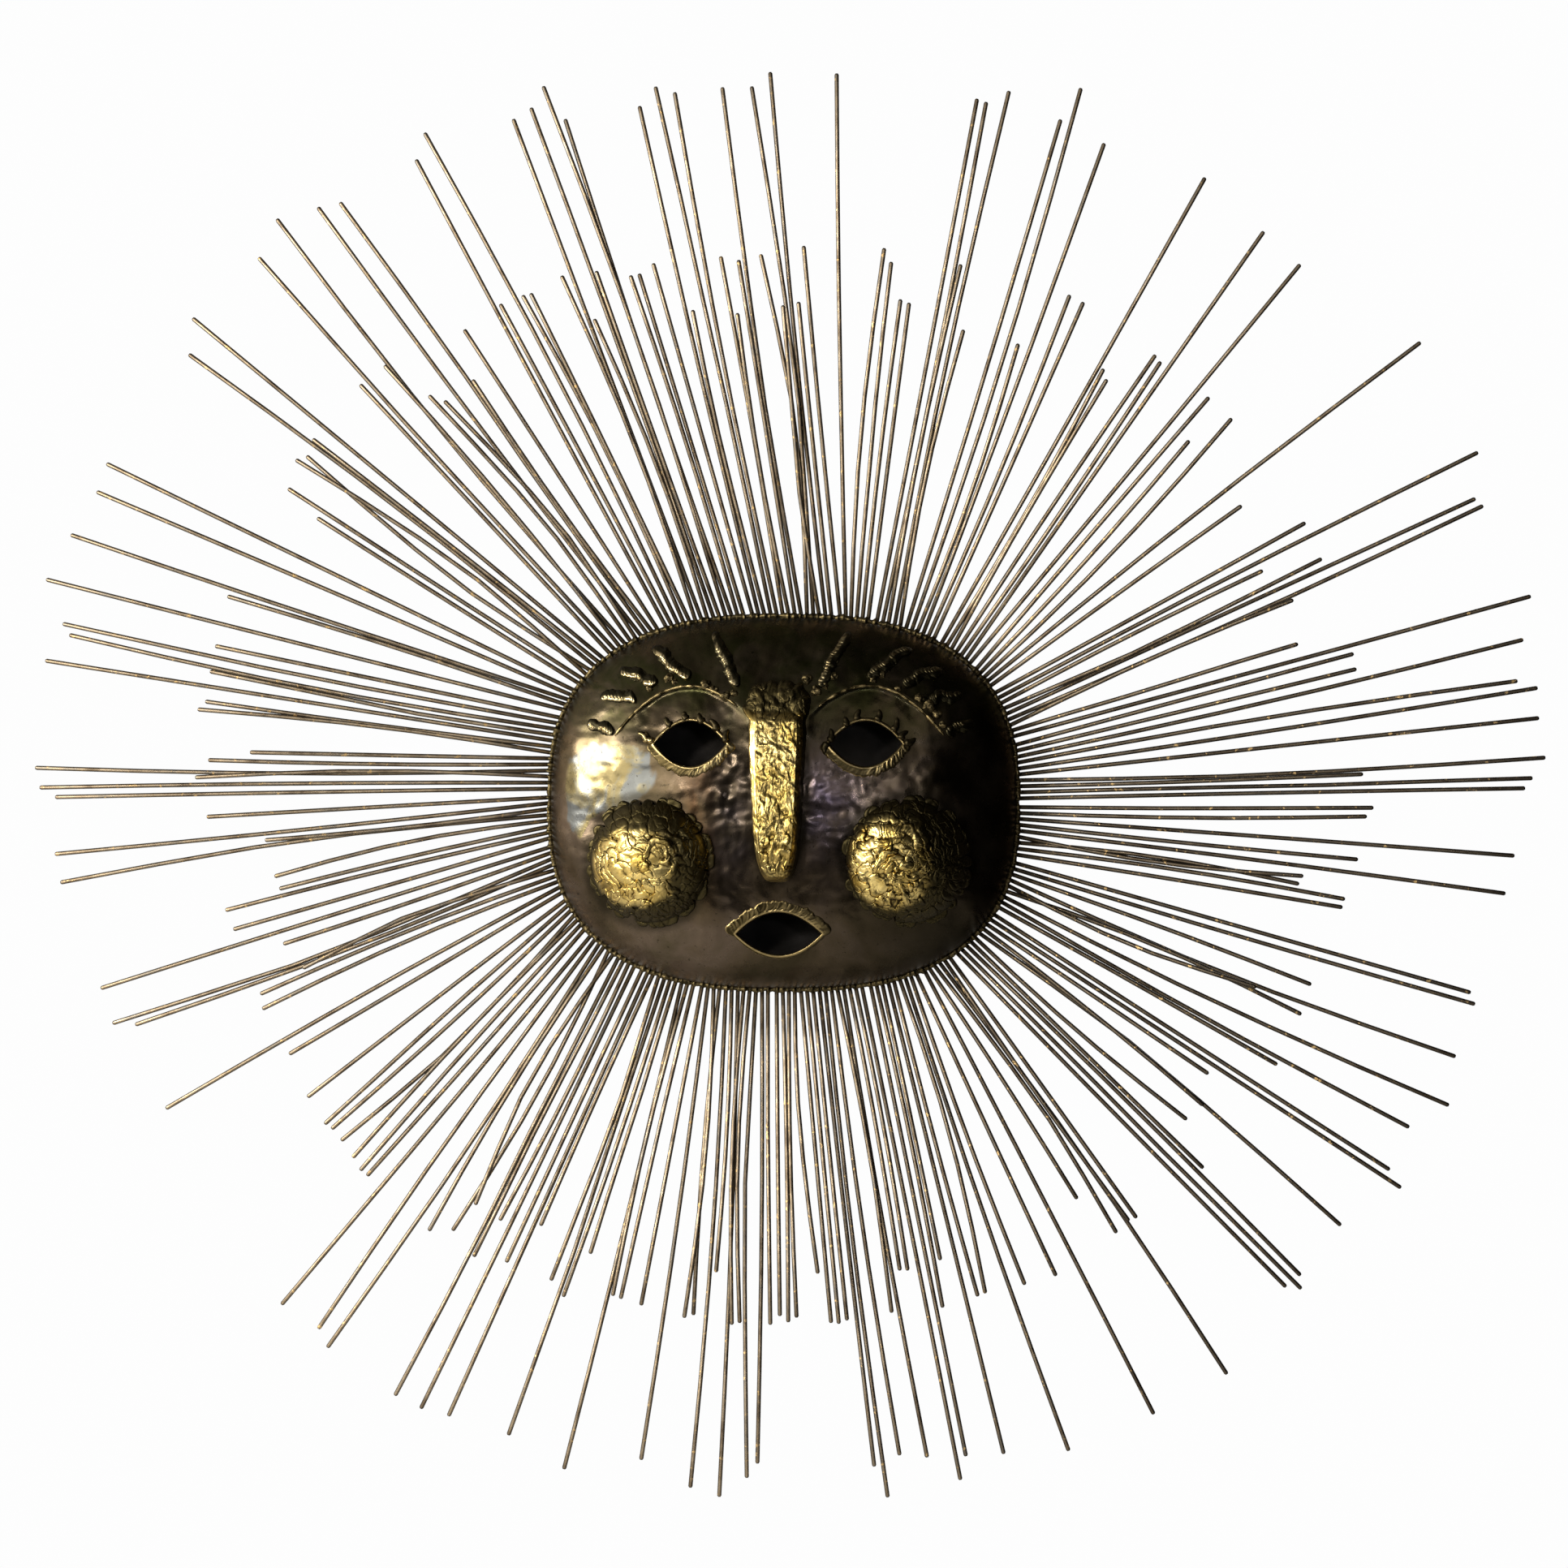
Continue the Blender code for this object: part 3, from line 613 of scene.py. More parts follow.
# %% [markdown]
# ## Laying braze
#
# Braze goes on in short overlapping strokes. Each stroke freezes as a rounded ridge, with small
# crescents across it where the torch paused. On the computer a stroke is a bent bar along an arc.
# The strokes are painted one over the other on a height map, in the order they were laid, so each
# new one ends in a crease on top of the old ones.


# %% Strokes of braze as a height over the sheet
SEAM_STARTS = 0.72


def lay_strokes(x, z, strokes, keep=0.5, ripple=0.10):
    """Height of overlapping strokes at each place, and 0 to 1 for how near it is to a stroke's edge.

    A stroke is (centre, radius of its bend, start angle, sweep, half width, rise, crescents).
    A bend smaller than the half width makes a round lobe.
    """
    height, seam = np.zeros_like(x), np.zeros_like(x)
    for centre, bend, start, sweep, half, rise, crescents in strokes:
        dx, dz = x - centre[0], z - centre[1]
        away = np.hypot(dx, dz)
        near = np.nonzero(np.abs(away - bend) < half)[0]
        dx, dz, away = dx[near], dz[near], away[near]
        along = np.mod((np.arctan2(dz, dx) - start) * math.copysign(1, sweep), math.tau) / abs(sweep)
        ends = np.clip(1 - np.abs(2 * along - 1) ** 4, 0, 1) ** 0.5
        if abs(sweep) >= math.tau:
            ends = np.ones_like(along)
        width = half * (0.35 + 0.65 * ends)
        off = (away - bend) / width
        ridge = np.clip(1 - np.abs(off) ** 2.6, 0, 1) ** 0.5 * ends * (1 + 0.25 * off)
        waves = 1 + ripple * np.cos(math.tau * (along * crescents + 0.35 * off * off))
        inside = ridge > 0.05
        painted = keep * height[near] + rise * ridge * waves
        height[near] = np.where(inside, painted, height[near])
        seam[near] = np.where(inside, smooth_step(SEAM_STARTS, 0.30, ridge), seam[near])
    return height, seam


def stroke_from(spot, heading, length, bend, half, rise, crescents=2):
    """A stroke that sets off from a spot at a heading. A negative bend turns it to the right."""
    normal = heading + math.copysign(math.pi / 2, bend)
    radius = abs(bend)
    centre = (spot[0] + radius * math.cos(normal), spot[1] + radius * math.sin(normal))
    return (centre, radius, normal + math.pi, math.copysign(length / radius, bend), half, rise, crescents)


def crevices(obj, height, seam, size, depth=0.26):
    """How far each point lies below its surroundings, from 0 on a crest to 1 in a fold or a seam."""
    cells = int(round(math.sqrt(len(height))))
    field = height.reshape(cells, cells)
    wide = field.copy()
    for _ in range(size):
        wide[1:-1, 1:-1] = (
            wide[:-2, 1:-1] + wide[2:, 1:-1] + wide[1:-1, :-2] + wide[1:-1, 2:] + wide[1:-1, 1:-1]
        ) / 5
    drop = (wide - field).ravel()
    spread = np.std(drop) + 1e-9
    mark(obj, CREVICE, np.maximum(0.26 + depth * drop / spread, 0.95 * seam))


def lobed_edge(angle, lobes):
    """How far out an edge of round lobes reaches at each angle. A lobe is (angle, distance, radius)."""
    reach = np.full_like(angle, min(distance for _, distance, _ in lobes))
    for turn, distance, radius in lobes:
        aside = distance * np.sin(angle - turn)
        hit = (np.abs(aside) < radius) & (np.cos(angle - turn) > 0)
        far = distance * np.cos(angle - turn) + np.sqrt(np.clip(radius**2 - aside**2, 0, None))
        reach = np.where(hit, np.maximum(reach, far), reach)
    return reach


# %% [markdown]
# ## The cheeks
#
# Each cheek is a dome of braze as wide as a hand. The left one is laid in curled strokes like a
# rose, the right one in long strands that swirl. Both end in rows of dark round lobes.

# %% The strokes of each cheek
STROKE_RISE = 0.0023
GOLDEN_ANGLE = 2.399963
ROSETTE_CURLS = 60
HAIR_STRANDS = 90
TOP_LOBES = (
    (-0.58, 0.58, 0.15), (0.42, 0.62, 0.15), (-0.38, 0.73, 0.17), (0.22, 0.74, 0.16), (-0.08, 0.79, 0.18),
    (-0.42, 0.50, 0.14), (0.18, 0.54, 0.14), (-0.12, 0.56, 0.15),
)
FLAT_PUDDLES = (
    (-0.62, 0.22, 0.13), (-0.30, 0.28, 0.16), (-0.55, 0.00, 0.19), (-0.24, 0.02, 0.17), (-0.40, -0.22, 0.18),
)
LEFT_PUDDLES = (
    (-0.80, -0.02, 0.11), (-0.72, -0.32, 0.11), (-0.58, -0.52, 0.11), (-0.66, 0.08, 0.14), (-0.58, -0.16, 0.15),
    (-0.44, -0.36, 0.13), (-0.38, -0.06, 0.12),
)
SMALL_BALLS = (
    (-0.41, -0.60, 0.075), (0.20, -0.60, 0.050), (0.06, -0.36, 0.045),
    (0.16, -0.32, 0.040), (-0.22, -0.52, 0.06),
)
LOW_CURLS, SWIRL_CURLS = 26, 46
ARC_REACHES = (0.70, 0.64, 0.55, 0.50, 0.40, 0.34, 0.26)
SWEEP_REACHES = (1.02, 0.90, 0.80, 0.67)


def fringe_lobes(radius, chance, count, share, size):
    """A ring of round lobes, each (angle, distance, radius)."""
    lobes = []
    for place in range(count):
        angle = math.tau * (place + chance.uniform(-0.35, 0.35)) / count
        reach = radius * (share + chance.uniform(-0.045, 0.02))
        lobes.append((angle, reach, size * chance.uniform(0.7, 1.45)))
    return lobes


def lobe_strokes(lobes, rise):
    strokes = []
    for angle, reach, size in lobes:
        centre = (reach * math.cos(angle), reach * math.sin(angle))
        strokes.append((centre, size * 0.35, angle + 1.0, math.tau, size * 0.70, rise, 2))
    return strokes


def scaled(strokes, radius):
    """Strokes in shares of the cheek's radius, as metres. A rise is a share of STROKE_RISE."""
    return [
        ((x * radius, z * radius), bend * radius, start, sweep, half * radius, rise * STROKE_RISE, crescents)
        for (x, z), bend, start, sweep, half, rise, crescents in strokes
    ]


def puddle(spot, size, rise, bend=0.02, start=0.0, crescents=0):
    """A round lobe: one full turn, with a bend smaller than its half width."""
    return spot, bend, start, math.tau, size, rise, crescents


def near(chance, place, aside):
    """A place that chance moves sideways, then up."""
    return tuple(value + chance.uniform(-far, far) for value, far in zip(place, aside))


def curls(chance, count, reach, widest_bend, halves, rises):
    """Small curls, set out like the seeds of a sunflower. Their crescents are still to be added."""
    for place in range(count):
        share = reach * (1 - place / count) ** 0.6
        angle = GOLDEN_ANGLE * place + chance.uniform(-0.35, 0.35)
        sweep = chance.choice((-1, 1)) * chance.uniform(2.0, 4.4)
        half, rise = chance.uniform(*halves), chance.uniform(*rises)
        bend, start = chance.uniform(0.05, widest_bend), chance.uniform(0, math.tau)
        yield (share * math.cos(angle), share * math.sin(angle)), bend, start, sweep, half, rise


def rosette(radius, chance):
    """The left cheek: small curls, then dark lobes on top, flat puddles, long sweeps, arcs and a pillow."""
    pick = chance.uniform
    found = curls(chance, ROSETTE_CURLS, 0.76, 0.16, (0.05, 0.10), (0.5, 1.1))
    strokes = [(*curl, pick(1, 3)) for curl in found]
    strokes += [puddle((x, z), size, 0.8) for x, z, size in TOP_LOBES]
    for reach in ARC_REACHES:
        centre = near(chance, (0.18, 0.08), (0.09, 0.10))
        strokes.append((centre, reach, pick(-1.3, 0.2), pick(0.8, 1.7), pick(0.045, 0.085), pick(0.8, 1.3), 3))
    strokes += [puddle((x, z), size, 0.8, 0.03, pick(0, 6), 1) for x, z, size in FLAT_PUDDLES]
    for reach in SWEEP_REACHES:
        centre = near(chance, (0.10, 0.22), (0.06, 0.06))
        strokes.append((centre, reach, pick(3.1, 3.5), pick(0.5, 1.0), pick(0.05, 0.075), 0.9, 2))
    for _ in range(LOW_CURLS):
        spot = (pick(-0.75, 0.55), pick(-0.82, -0.45))
        sweep, half = chance.choice((-1, 1)) * pick(2.2, 5.0), pick(0.032, 0.060)
        strokes.append((spot, pick(0.03, 0.09), pick(0, math.tau), sweep, half, pick(0.8, 1.3), 1))
    for reach in (0.19, 0.12, 0.05):
        strokes.append(((0.20, 0.12), reach, pick(-0.8, 1.2), pick(2.6, 4.6), 0.05, 1.1, 2))
    strokes += [
        stroke_from((-0.32, 0.46), -1.5, 0.30, 0.5, 0.05, 1.0, 2),
        puddle((-0.05, -0.09), 0.085, 1.3),
        stroke_from((0.17, -0.30), -1.65, 0.34, 0.9, 0.14, 1.2, 2),
        stroke_from((0.00, -0.28), -1.50, 0.22, 0.7, 0.09, 1.1, 2),
    ]
    return scaled(strokes, radius)


def swirl(radius, chance):
    """The right cheek: fine hair round the right and below, thick ropes at the upper left, a small swirl."""
    pick = chance.uniform
    found = curls(chance, SWIRL_CURLS, 0.80, 0.15, (0.045, 0.09), (0.6, 1.1))
    strokes = [(*curl, 2) for curl in found]
    for place in range(HAIR_STRANDS):
        reach = 0.94 - 0.66 * place / HAIR_STRANDS + pick(-0.05, 0.05)
        centre = (chance.gauss(-0.02, 0.10), chance.gauss(0.08, 0.10))
        start, sweep, half = pick(-2.3, 0.75), pick(0.3, 0.8), pick(0.018, 0.038)
        strokes.append((centre, reach, start, sweep, half, pick(0.35, 0.65), 1))
    strokes += [puddle((x, z), size, 0.9, 0.03, pick(0, 6), 1) for x, z, size in LEFT_PUDDLES]
    strokes += [
        stroke_from((0.10, 0.74), -1.15, 0.55, -1.2, 0.14, 1.1, 2),
        stroke_from((-0.64, 0.62), 0.35, 0.68, -0.9, 0.075, 1.1, 9),
        stroke_from((-0.76, 0.27), -0.05, 0.74, 1.6, 0.085, 1.0, 10),
        stroke_from((-0.58, 0.44), 0.30, 0.62, -0.9, 0.10, 1.2, 12),
        ((-0.08, 0.27), 0.24, 1.5, -2.0, 0.082, 1.3, 10),
    ]
    for reach in (0.30, 0.22, 0.13, 0.05):
        start, centre = pick(0.9, 1.8), near(chance, (-0.12, -0.14), (0.03, 0.03))
        strokes.append((centre, reach, start, pick(1.8, 3.0), pick(0.035, 0.055), 1.1, 3))
    strokes.append(stroke_from((-0.06, -0.34), -1.5, 0.34, 2.0, 0.052, 1.1, 1))
    strokes += [puddle((x, z), size, 1.1, 0.01) for x, z, size in SMALL_BALLS]
    return scaled(strokes, radius)


print("strokes:", len(rosette(1.0, random.Random(0))), "left,", len(swirl(1.0, random.Random(0))), "right")

# %% [markdown]
# A cheek is a grid pulled round, like the sheet. Its last rings fold back underneath, so it closes on
# itself. The strokes are looked up at places that noise has moved a little, as a hand would waver.

# %% Cheek domes
CHEEK_CELLS = 280
CHEEK_EDGE = 0.0012
CHEEK_CREST, CHEEK_FALL, CHEEK_REACH = 2.2, 0.75, 0.93
OUTER_LOBES, INNER_LOBES = (32, 0.91, 0.0056), (27, 0.80, 0.0062)
WANDER, WANDER_SIZE = 0.0030, 0.013
LUMP_SIZE, LUMP_RISE = 0.007, 0.00018
CREVICE_STEPS = 16
UNDERSIDE = -0.0009  # the folded rings lie this far inside the sheet's front
# The lit oval is where light is painted on each cheek; beyond it the braze is painted in shade.
LIT_OVAL = {"left": (-0.20, -0.10, 0.74, 0.60), "right": (-0.26, -0.04, 0.66, 0.70)}
MOTTLED = {"left": 0.50, "right": 0.85}
CREASES = {"left": 0.32, "right": 0.46}
SHADE_STARTS = {"left": 0.17, "right": 0.14}


def cheek_darkness(word, right, up, out, lumps):
    """Painted light and shade, in shares of the cheek: dark beyond the lit oval and at the right as painted
    shade, in mottles as the braze's own tone, and in the fringe partly as tarnish and partly as painted shade.
    """
    bright_x, bright_z, bright_width, bright_height = LIT_OVAL[word]
    unlit = np.hypot((right - bright_x) / bright_width, (up - bright_z) / bright_height)
    return np.max([
        0.97 * smooth_step(0.84, 1.06, unlit + 0.07 * lumps),
        MOTTLED[word] * smooth_step(0.10, 0.60, lumps),
        0.98 * smooth_step(0.84, 0.92, out + 0.10 * smooth_step(0.2, 0.6, right)),
        0.95 * smooth_step(0.0, 0.30, right + 0.14 * lumps - SHADE_STARTS[word]),
    ], axis=0)


def make_cheek(word, laid, seed):
    node = f"cheek_{word}"
    middle, (half_x, half_z) = oval_of(node)
    middle = Vector((middle[0], 0, middle[1]))
    chance = random.Random(seed)
    outer = fringe_lobes(half_x, chance, *OUTER_LOBES)
    inner = fringe_lobes(half_x, chance, *INNER_LOBES)
    cheek = make_grid(f"brazed_{node}", CHEEK_CELLS, CHEEK_CELLS)
    share, ox, oz, behind = folded_oval(cheek, 2.0)
    edge = np.minimum(lobed_edge(np.arctan2(oz, ox), outer) / half_x, 1.03)
    dx, dz = ox * share * half_x * edge, oz * share * half_z * edge
    x, z = middle.x + dx, middle.z + dz
    out = np.hypot(dx / half_x, dz / half_z)
    strokes = lobe_strokes(outer, STROKE_RISE) + lobe_strokes(inner, STROKE_RISE) + laid(half_x, chance)
    flat = flat_points(x, z)
    astray = WANDER * smooth_step(0.98, 0.70, out)
    led_x = dx + astray * rough(flat, WANDER_SIZE, seed + 21.0, 3)
    led_z = dz + astray * rough(flat, WANDER_SIZE, seed + 34.0, 3)
    relief, seam = lay_strokes(led_x, led_z, strokes, keep=0.35, ripple=0.06)
    lumps = rough(flat, LUMP_SIZE, seed + 4.0, 3)
    relief += LUMP_RISE * lumps
    top = -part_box(node)[0].y - float(dome(np.array([middle.x]), np.array([middle.z]))[0])
    crest = top - CHEEK_EDGE - 1.6 * STROKE_RISE
    swell = crest * (1 - np.clip(out / CHEEK_REACH, 0, 1) ** CHEEK_CREST) ** CHEEK_FALL
    close = smooth_step(1.0, 0.985, share)
    lift = np.where(behind, UNDERSIDE, swell + (CHEEK_EDGE + relief) * close + UNDERSIDE * (1 - close))
    lay_on_face(cheek, x, z, lift)
    crevices(cheek, relief, seam * np.clip(0.75 + 0.8 * lumps, 0, 1), CREVICE_STEPS, CREASES[word])
    dark = cheek_darkness(word, dx / half_x, dz / half_z, out, lumps)
    # Painted shade, growing towards the right and down.
    diagonal_shade = 0.60 * smooth_step(-0.10, 0.15, (dx + 0.5 * dz) / half_x + 0.12 * lumps)
    mark(cheek, DARKNESS, np.maximum(dark, diagonal_shade))
    close_up(cheek)
    finish(cheek, BRIGHT_BRAZE, "braze", node)


make_cheek("left", rosette, 5)
make_cheek("right", swirl, 9)

# %% [markdown]
# ## The nose
#
# The nose is a bar of braze poured high over the sheet, with steep sides. Its top is crumpled by
# short strokes that run across and down, the tip ends in curls and a dark crown of lobes sits between
# the brows. The section is a short list of points from the middle out to the foot.

# %% The strokes of the nose
NOSE_STROKE_RISE = 0.0016
NOSE_STROKES, CROWN_LOBES = 250, 26
CROWN_SHARE, CROWN_FLARE = 0.17, 1.20
NOSE_NODULES = (
    (-0.009, 0.032, 0.0055), (0.007, 0.034, 0.005), (-0.010, 0.019, 0.0055),
    (0.006, 0.021, 0.0075), (-0.003, 0.010, 0.005), (0.009, 0.011, 0.0045),
)


def nose_strokes(top, bottom, half_top, chance):
    strokes, pick = [], chance.uniform
    for place in range(NOSE_STROKES):
        down = (place + pick(-5, 5)) / NOSE_STROKES
        half = half_top * (1 - 0.33 * down)
        spot = (pick(-0.95, 0.95) * half, top + (bottom - top) * (0.08 + 0.92 * down))
        heading = chance.gauss(-1.0, 0.42) + chance.choice((0, math.pi))
        bend = pick(0.008, 0.030) * chance.choice((-1, 1))
        length, half_width = pick(0.008, 0.026), pick(0.0011, 0.0030)
        rise = NOSE_STROKE_RISE * pick(0.30, 0.95)
        strokes.append(stroke_from(spot, heading, length, bend, half_width, rise, pick(1, 3)))
    for x, z, size in NOSE_NODULES:
        turn, sweep = pick(0, 6), pick(3.8, 6.2)
        strokes.append(((x, bottom + z), size * 0.45, turn, sweep, size * 0.5, NOSE_STROKE_RISE * 1.5, 2))
    for _ in range(CROWN_LOBES):
        spot = (half_top * CROWN_FLARE * pick(-1, 1), top - pick(0.002, 0.023))
        size = pick(0.0040, 0.0070)
        sweep, turn = chance.choice((-1, 1)) * pick(3.0, 6.2), pick(0, math.tau)
        strokes.append((spot, size * 0.5, turn, sweep, size * 0.6, NOSE_STROKE_RISE * pick(0.9, 1.7), 1))
    return strokes


# %% The nose bar
NOSE_CELLS = 240
NOSE_TILT = 0.13
NOSE_WANDER, NOSE_WANDER_SIZE = 0.0016, 0.007
NOSE_PEAK, NOSE_PEAK_GAIN = 0.0145, 0.009
NOSE_CREVICE_STEPS = 9
NOSE_SECTION_REACH = (0.0, 0.66, 0.75, 0.84, 1.0)
NOSE_SECTION_WIDTH = (0.0, 0.76, 0.88, 0.96, 1.05)
NOSE_SECTION_RISE = (1.0, 0.97, 0.84, 0.62, -0.06)
NOSE_BEVEL_WIDTH = (0.0, 0.72, 0.84, 0.97, 1.05)
NOSE_BEVEL_RISE = (1.0, 0.99, 0.91, 0.79, -0.06)
NOSE_END_REACH = (0.0, 0.915, 0.955, 0.985, 1.015)


def make_nose():
    low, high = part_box("nose_bar")
    top, bottom = high.z - FACE_CENTRE, low.z - FACE_CENTRE
    half_top = (high.x - low.x) / 2
    nose = make_grid("brazed_nose", NOSE_CELLS, NOSE_CELLS)
    share, ox, oz, behind = folded_oval(nose, 4.0)
    at_left = smooth_step(-0.75, -0.95, ox)

    def section(plain, bevelled):
        plain, bevelled = (np.interp(share, NOSE_SECTION_REACH, line) for line in (plain, bevelled))
        return plain * (1 - at_left) + bevelled * at_left

    width = section(NOSE_SECTION_WIDTH, NOSE_BEVEL_WIDTH)
    rise = section(NOSE_SECTION_RISE, NOSE_BEVEL_RISE)
    down = (1 - oz * np.interp(share, NOSE_SECTION_REACH, NOSE_END_REACH)) / 2
    crown = smooth_step(CROWN_SHARE + 0.02, CROWN_SHARE - 0.04, down)
    half = half_top * (0.96 - 0.30 * np.clip(down, 0, 1)) * (1 + (CROWN_FLARE - 1) * crown)
    x = ox * width * half
    z = top + (bottom - top) * down
    border = smooth_step(0.6, 0.8, share)
    way_round = np.stack([ox, oz * 3.0, ox * 0], axis=1)
    ragged = rough(way_round, 0.35, 2.0, 2) * border
    scallops = np.abs(np.sin(7.0 * ox + 0.8 * ragged)) * border * crown
    x = x * (1 + (0.04 + 0.05 * crown) * ragged)
    z = z + 0.0018 * ragged * crown + 0.0030 * scallops * smooth_step(0.5, 1.0, oz)
    flat = flat_points(x, z)
    led_x = x + NOSE_WANDER * rough(flat, NOSE_WANDER_SIZE, 51.0, 3)
    led_z = z + NOSE_WANDER * rough(flat, NOSE_WANDER_SIZE, 62.0, 3)
    strokes = nose_strokes(top, bottom, half_top, random.Random(3))
    relief, seam = lay_strokes(led_x, led_z, strokes, keep=0.45)
    relief += 0.00025 * rough(flat, 0.0050, 7.0, 3) + 0.0007 * rough(flat, 0.018, 17.0, 2)
    peak = (NOSE_PEAK + NOSE_PEAK_GAIN * down) * (1 - 0.50 * crown)
    level = np.clip(rise, 0, 1)
    bevel = smooth_step(0.66, 0.72, share) * at_left
    lift = rise * peak + relief * smooth_step(1.0, 0.92, share) * (0.45 + 0.55 * level) * (1 - 0.75 * bevel)
    lift = np.where(behind, UNDERSIDE, lift + NOSE_TILT * x * level)
    level = np.where(behind, 0.0, level)
    base = dome(x * 0, z) * level + face_height(x, z) * (1 - level)
    write_points(nose, before_wall(x, base + lift, z))
    crevices(nose, relief * (1 - bevel), 0.45 * seam * (1 - bevel), NOSE_CREVICE_STEPS)
    # Painted shade on the nose's right wall.
    shaded_right_wall = smooth_step(0.74, 0.88, share) * smooth_step(0.1, 0.6, ox)
    tip = 0.45 * smooth_step(0.84, 0.92, down) + 0.60 * smooth_step(0.44, 0.16, down)
    # The left bevel takes less darkness, as a painted highlight.
    tip = np.maximum(tip, 0.34) * (1 - 0.6 * bevel)
    tip = tip + 0.36 * smooth_step(0.05, 0.65, rough(flat, 0.009, 77.0, 3)) * (1 - bevel)
    mark(nose, DARKNESS, np.maximum(0.97 * crown, np.maximum(0.95 * shaded_right_wall, tip)))
    close_up(nose)
    finish(nose, BRIGHT_BRAZE, "braze", "nose_bar")


make_nose()

# %% [markdown]
# ## Rims of the eyes and the mouth
#
# Round each opening runs a thin bright lip, and outside it a band of fine combed strokes, wide under
# the eyes and over the mouth. A grid that is long one way is wrapped round the almond and its ends
# are joined. The strokes all lean the same way round, as the torch moved.

# %% Combed strokes round an almond
RIM_STEPS = 170
RIM_ROWS = 34
RIM_FRONT = 0.85
RIM_INNER = 0.0008
LIP_RISE = 0.0013
BAND_RISE = 0.0009
COMB_RISE = 0.0007
COMB_HALF_WIDTH = 0.0007


def outward_from(outline):
    """Unit directions away from a closed outline, smoothed where it has corners."""
    ahead = np.roll(outline, -2, axis=0) - np.roll(outline, 2, axis=0)
    away = np.stack([ahead[:, 1], -ahead[:, 0]], axis=1)
    away /= np.linalg.norm(away, axis=1)[:, None]
    for _ in range(14):
        away = (np.roll(away, 1, axis=0) + away + np.roll(away, -1, axis=0)) / 3
    return away / np.linalg.norm(away, axis=1)[:, None]


def comb_strokes(outline, away, band, spacing, least, chance):
    """Strokes round the opening, deep where the band is wide and on its right-hand side."""
    strength = smooth_step(0.0030, 0.0075, band) * (least + (1 - least) * smooth_step(-0.1, 0.6, away[:, 0]))
    strokes, pick = [], chance.uniform
    steps = np.linalg.norm(np.roll(outline, -1, axis=0) - outline, axis=1)
    along = np.cumsum(steps)
    for place in np.arange(0, along[-1], spacing):
        index = int(np.searchsorted(along, place + pick(-0.4, 0.4) * spacing)) % len(outline)
        root = outline[index] + away[index] * band[index] * pick(0.0, 0.35)
        heading = math.atan2(away[index][1], away[index][0]) - pick(0.6, 1.3)
        length, bend = band[index] * pick(0.8, 1.5), pick(0.006, 0.014)
        half, rise = COMB_HALF_WIDTH * pick(0.6, 1.6), COMB_RISE * pick(0.4, 1.1) * strength[index]
        strokes.append(stroke_from(root, heading, length, bend, half, rise))
    return strokes


# %% The rim of one opening
LIP_MIDDLE, LIP_WIDTH = 0.0005, 0.0010
COMB_SPACING = 0.0011


def lip_at(reach):
    """The bright lip's share of its height, at a distance outside the opening."""
    return np.exp(-(((reach - LIP_MIDDLE) / LIP_WIDTH) ** 2))


def wrap_rim(name, place, half, above, below, least, seed):
    """above and below are the band's widths. least is how strong the strokes are at the left."""
    outline = almond(place, half, RIM_STEPS)
    away = outward_from(outline)
    around = len(outline)
    rim = make_grid(name, around, RIM_ROWS)
    points = read_points(rim)
    turn = np.round((points[:, 0] + 1) / 2 * around).astype(int) % around
    across = (points[:, 1] + 1) / 2
    behind = across > RIM_FRONT
    across = np.where(behind, (1 - across) / (1 - RIM_FRONT), across / RIM_FRONT)
    way_round = np.arange(around) / around * math.tau
    circle = np.stack([np.cos(way_round), np.sin(way_round), way_round * 0], axis=1)
    upward = smooth_step(-0.45, 0.45, away[:, 1])
    band = (below + (above - below) * upward) * (1 + 0.20 * rough(circle, 0.16, seed, 3))
    reach = -RIM_INNER + (band[turn] + RIM_INNER) * across**1.2
    x, z = (outline[turn] + away[turn] * reach[:, None]).T
    strokes = comb_strokes(outline, away, band, COMB_SPACING, least, random.Random(seed))
    combs, _ = lay_strokes(x, z, strokes, ripple=0.05)
    lip = lip_at(reach)
    lumps = rough(flat_points(x, z), 0.005, seed, 2)
    foot = smooth_step(1.0, 0.80, across) * smooth_step(0.0002, 0.0020, reach)
    lift = LIP_RISE * lip * (1 + 0.25 * lumps) + (BAND_RISE + combs) * foot
    lift -= 0.0008 * smooth_step(0.90, 1.0, across)
    lift -= (SHEET_THICKNESS + LIP_RISE) * smooth_step(0.0, -RIM_INNER, reach)
    inner_lip = LIP_RISE * lip_at(-RIM_INNER) * (1 + 0.25 * lumps)
    inner_lift = inner_lip - SHEET_THICKNESS - LIP_RISE
    back_lift = inner_lift * smooth_step(1.0, 0.0, across) + UNDERSIDE * smooth_step(0.0, 1.0, across)
    lift = np.where(behind, np.minimum(back_lift, UNDERSIDE), lift)
    lay_on_face(rim, x, z, lift)
    low_spots = 0.75 - 0.45 * combs / COMB_RISE
    mark(rim, CREVICE, low_spots * foot * (1 - lip) + 0.15 * (1 - foot))
    # Painted shade: the band darkens towards its right-hand side, and the lip stays light.
    shade_to_the_right = smooth_step(-0.5, 0.6, away[turn][:, 0])
    mark(rim, DARKNESS, (0.05 + 0.70 * shade_to_the_right) * smooth_step(0.20, 0.7, across) * (1 - lip))
    close_up(rim)
    return rim


# %% [markdown]
# Lashes and brow wires are runs of metal: a route over the face with a changing thickness. A curve
# with a round bevel gives the tube, which becomes a mesh and is roughened.

# %% Runs of metal over the face
TUBE_RESOLUTION = 3


def on_face(places, lifts):
    """Points over places on the face, lifted above the sheet."""
    x, z = np.asarray(places, float).T
    return before_wall(x, face_height(x, z) + np.asarray(lifts), z)


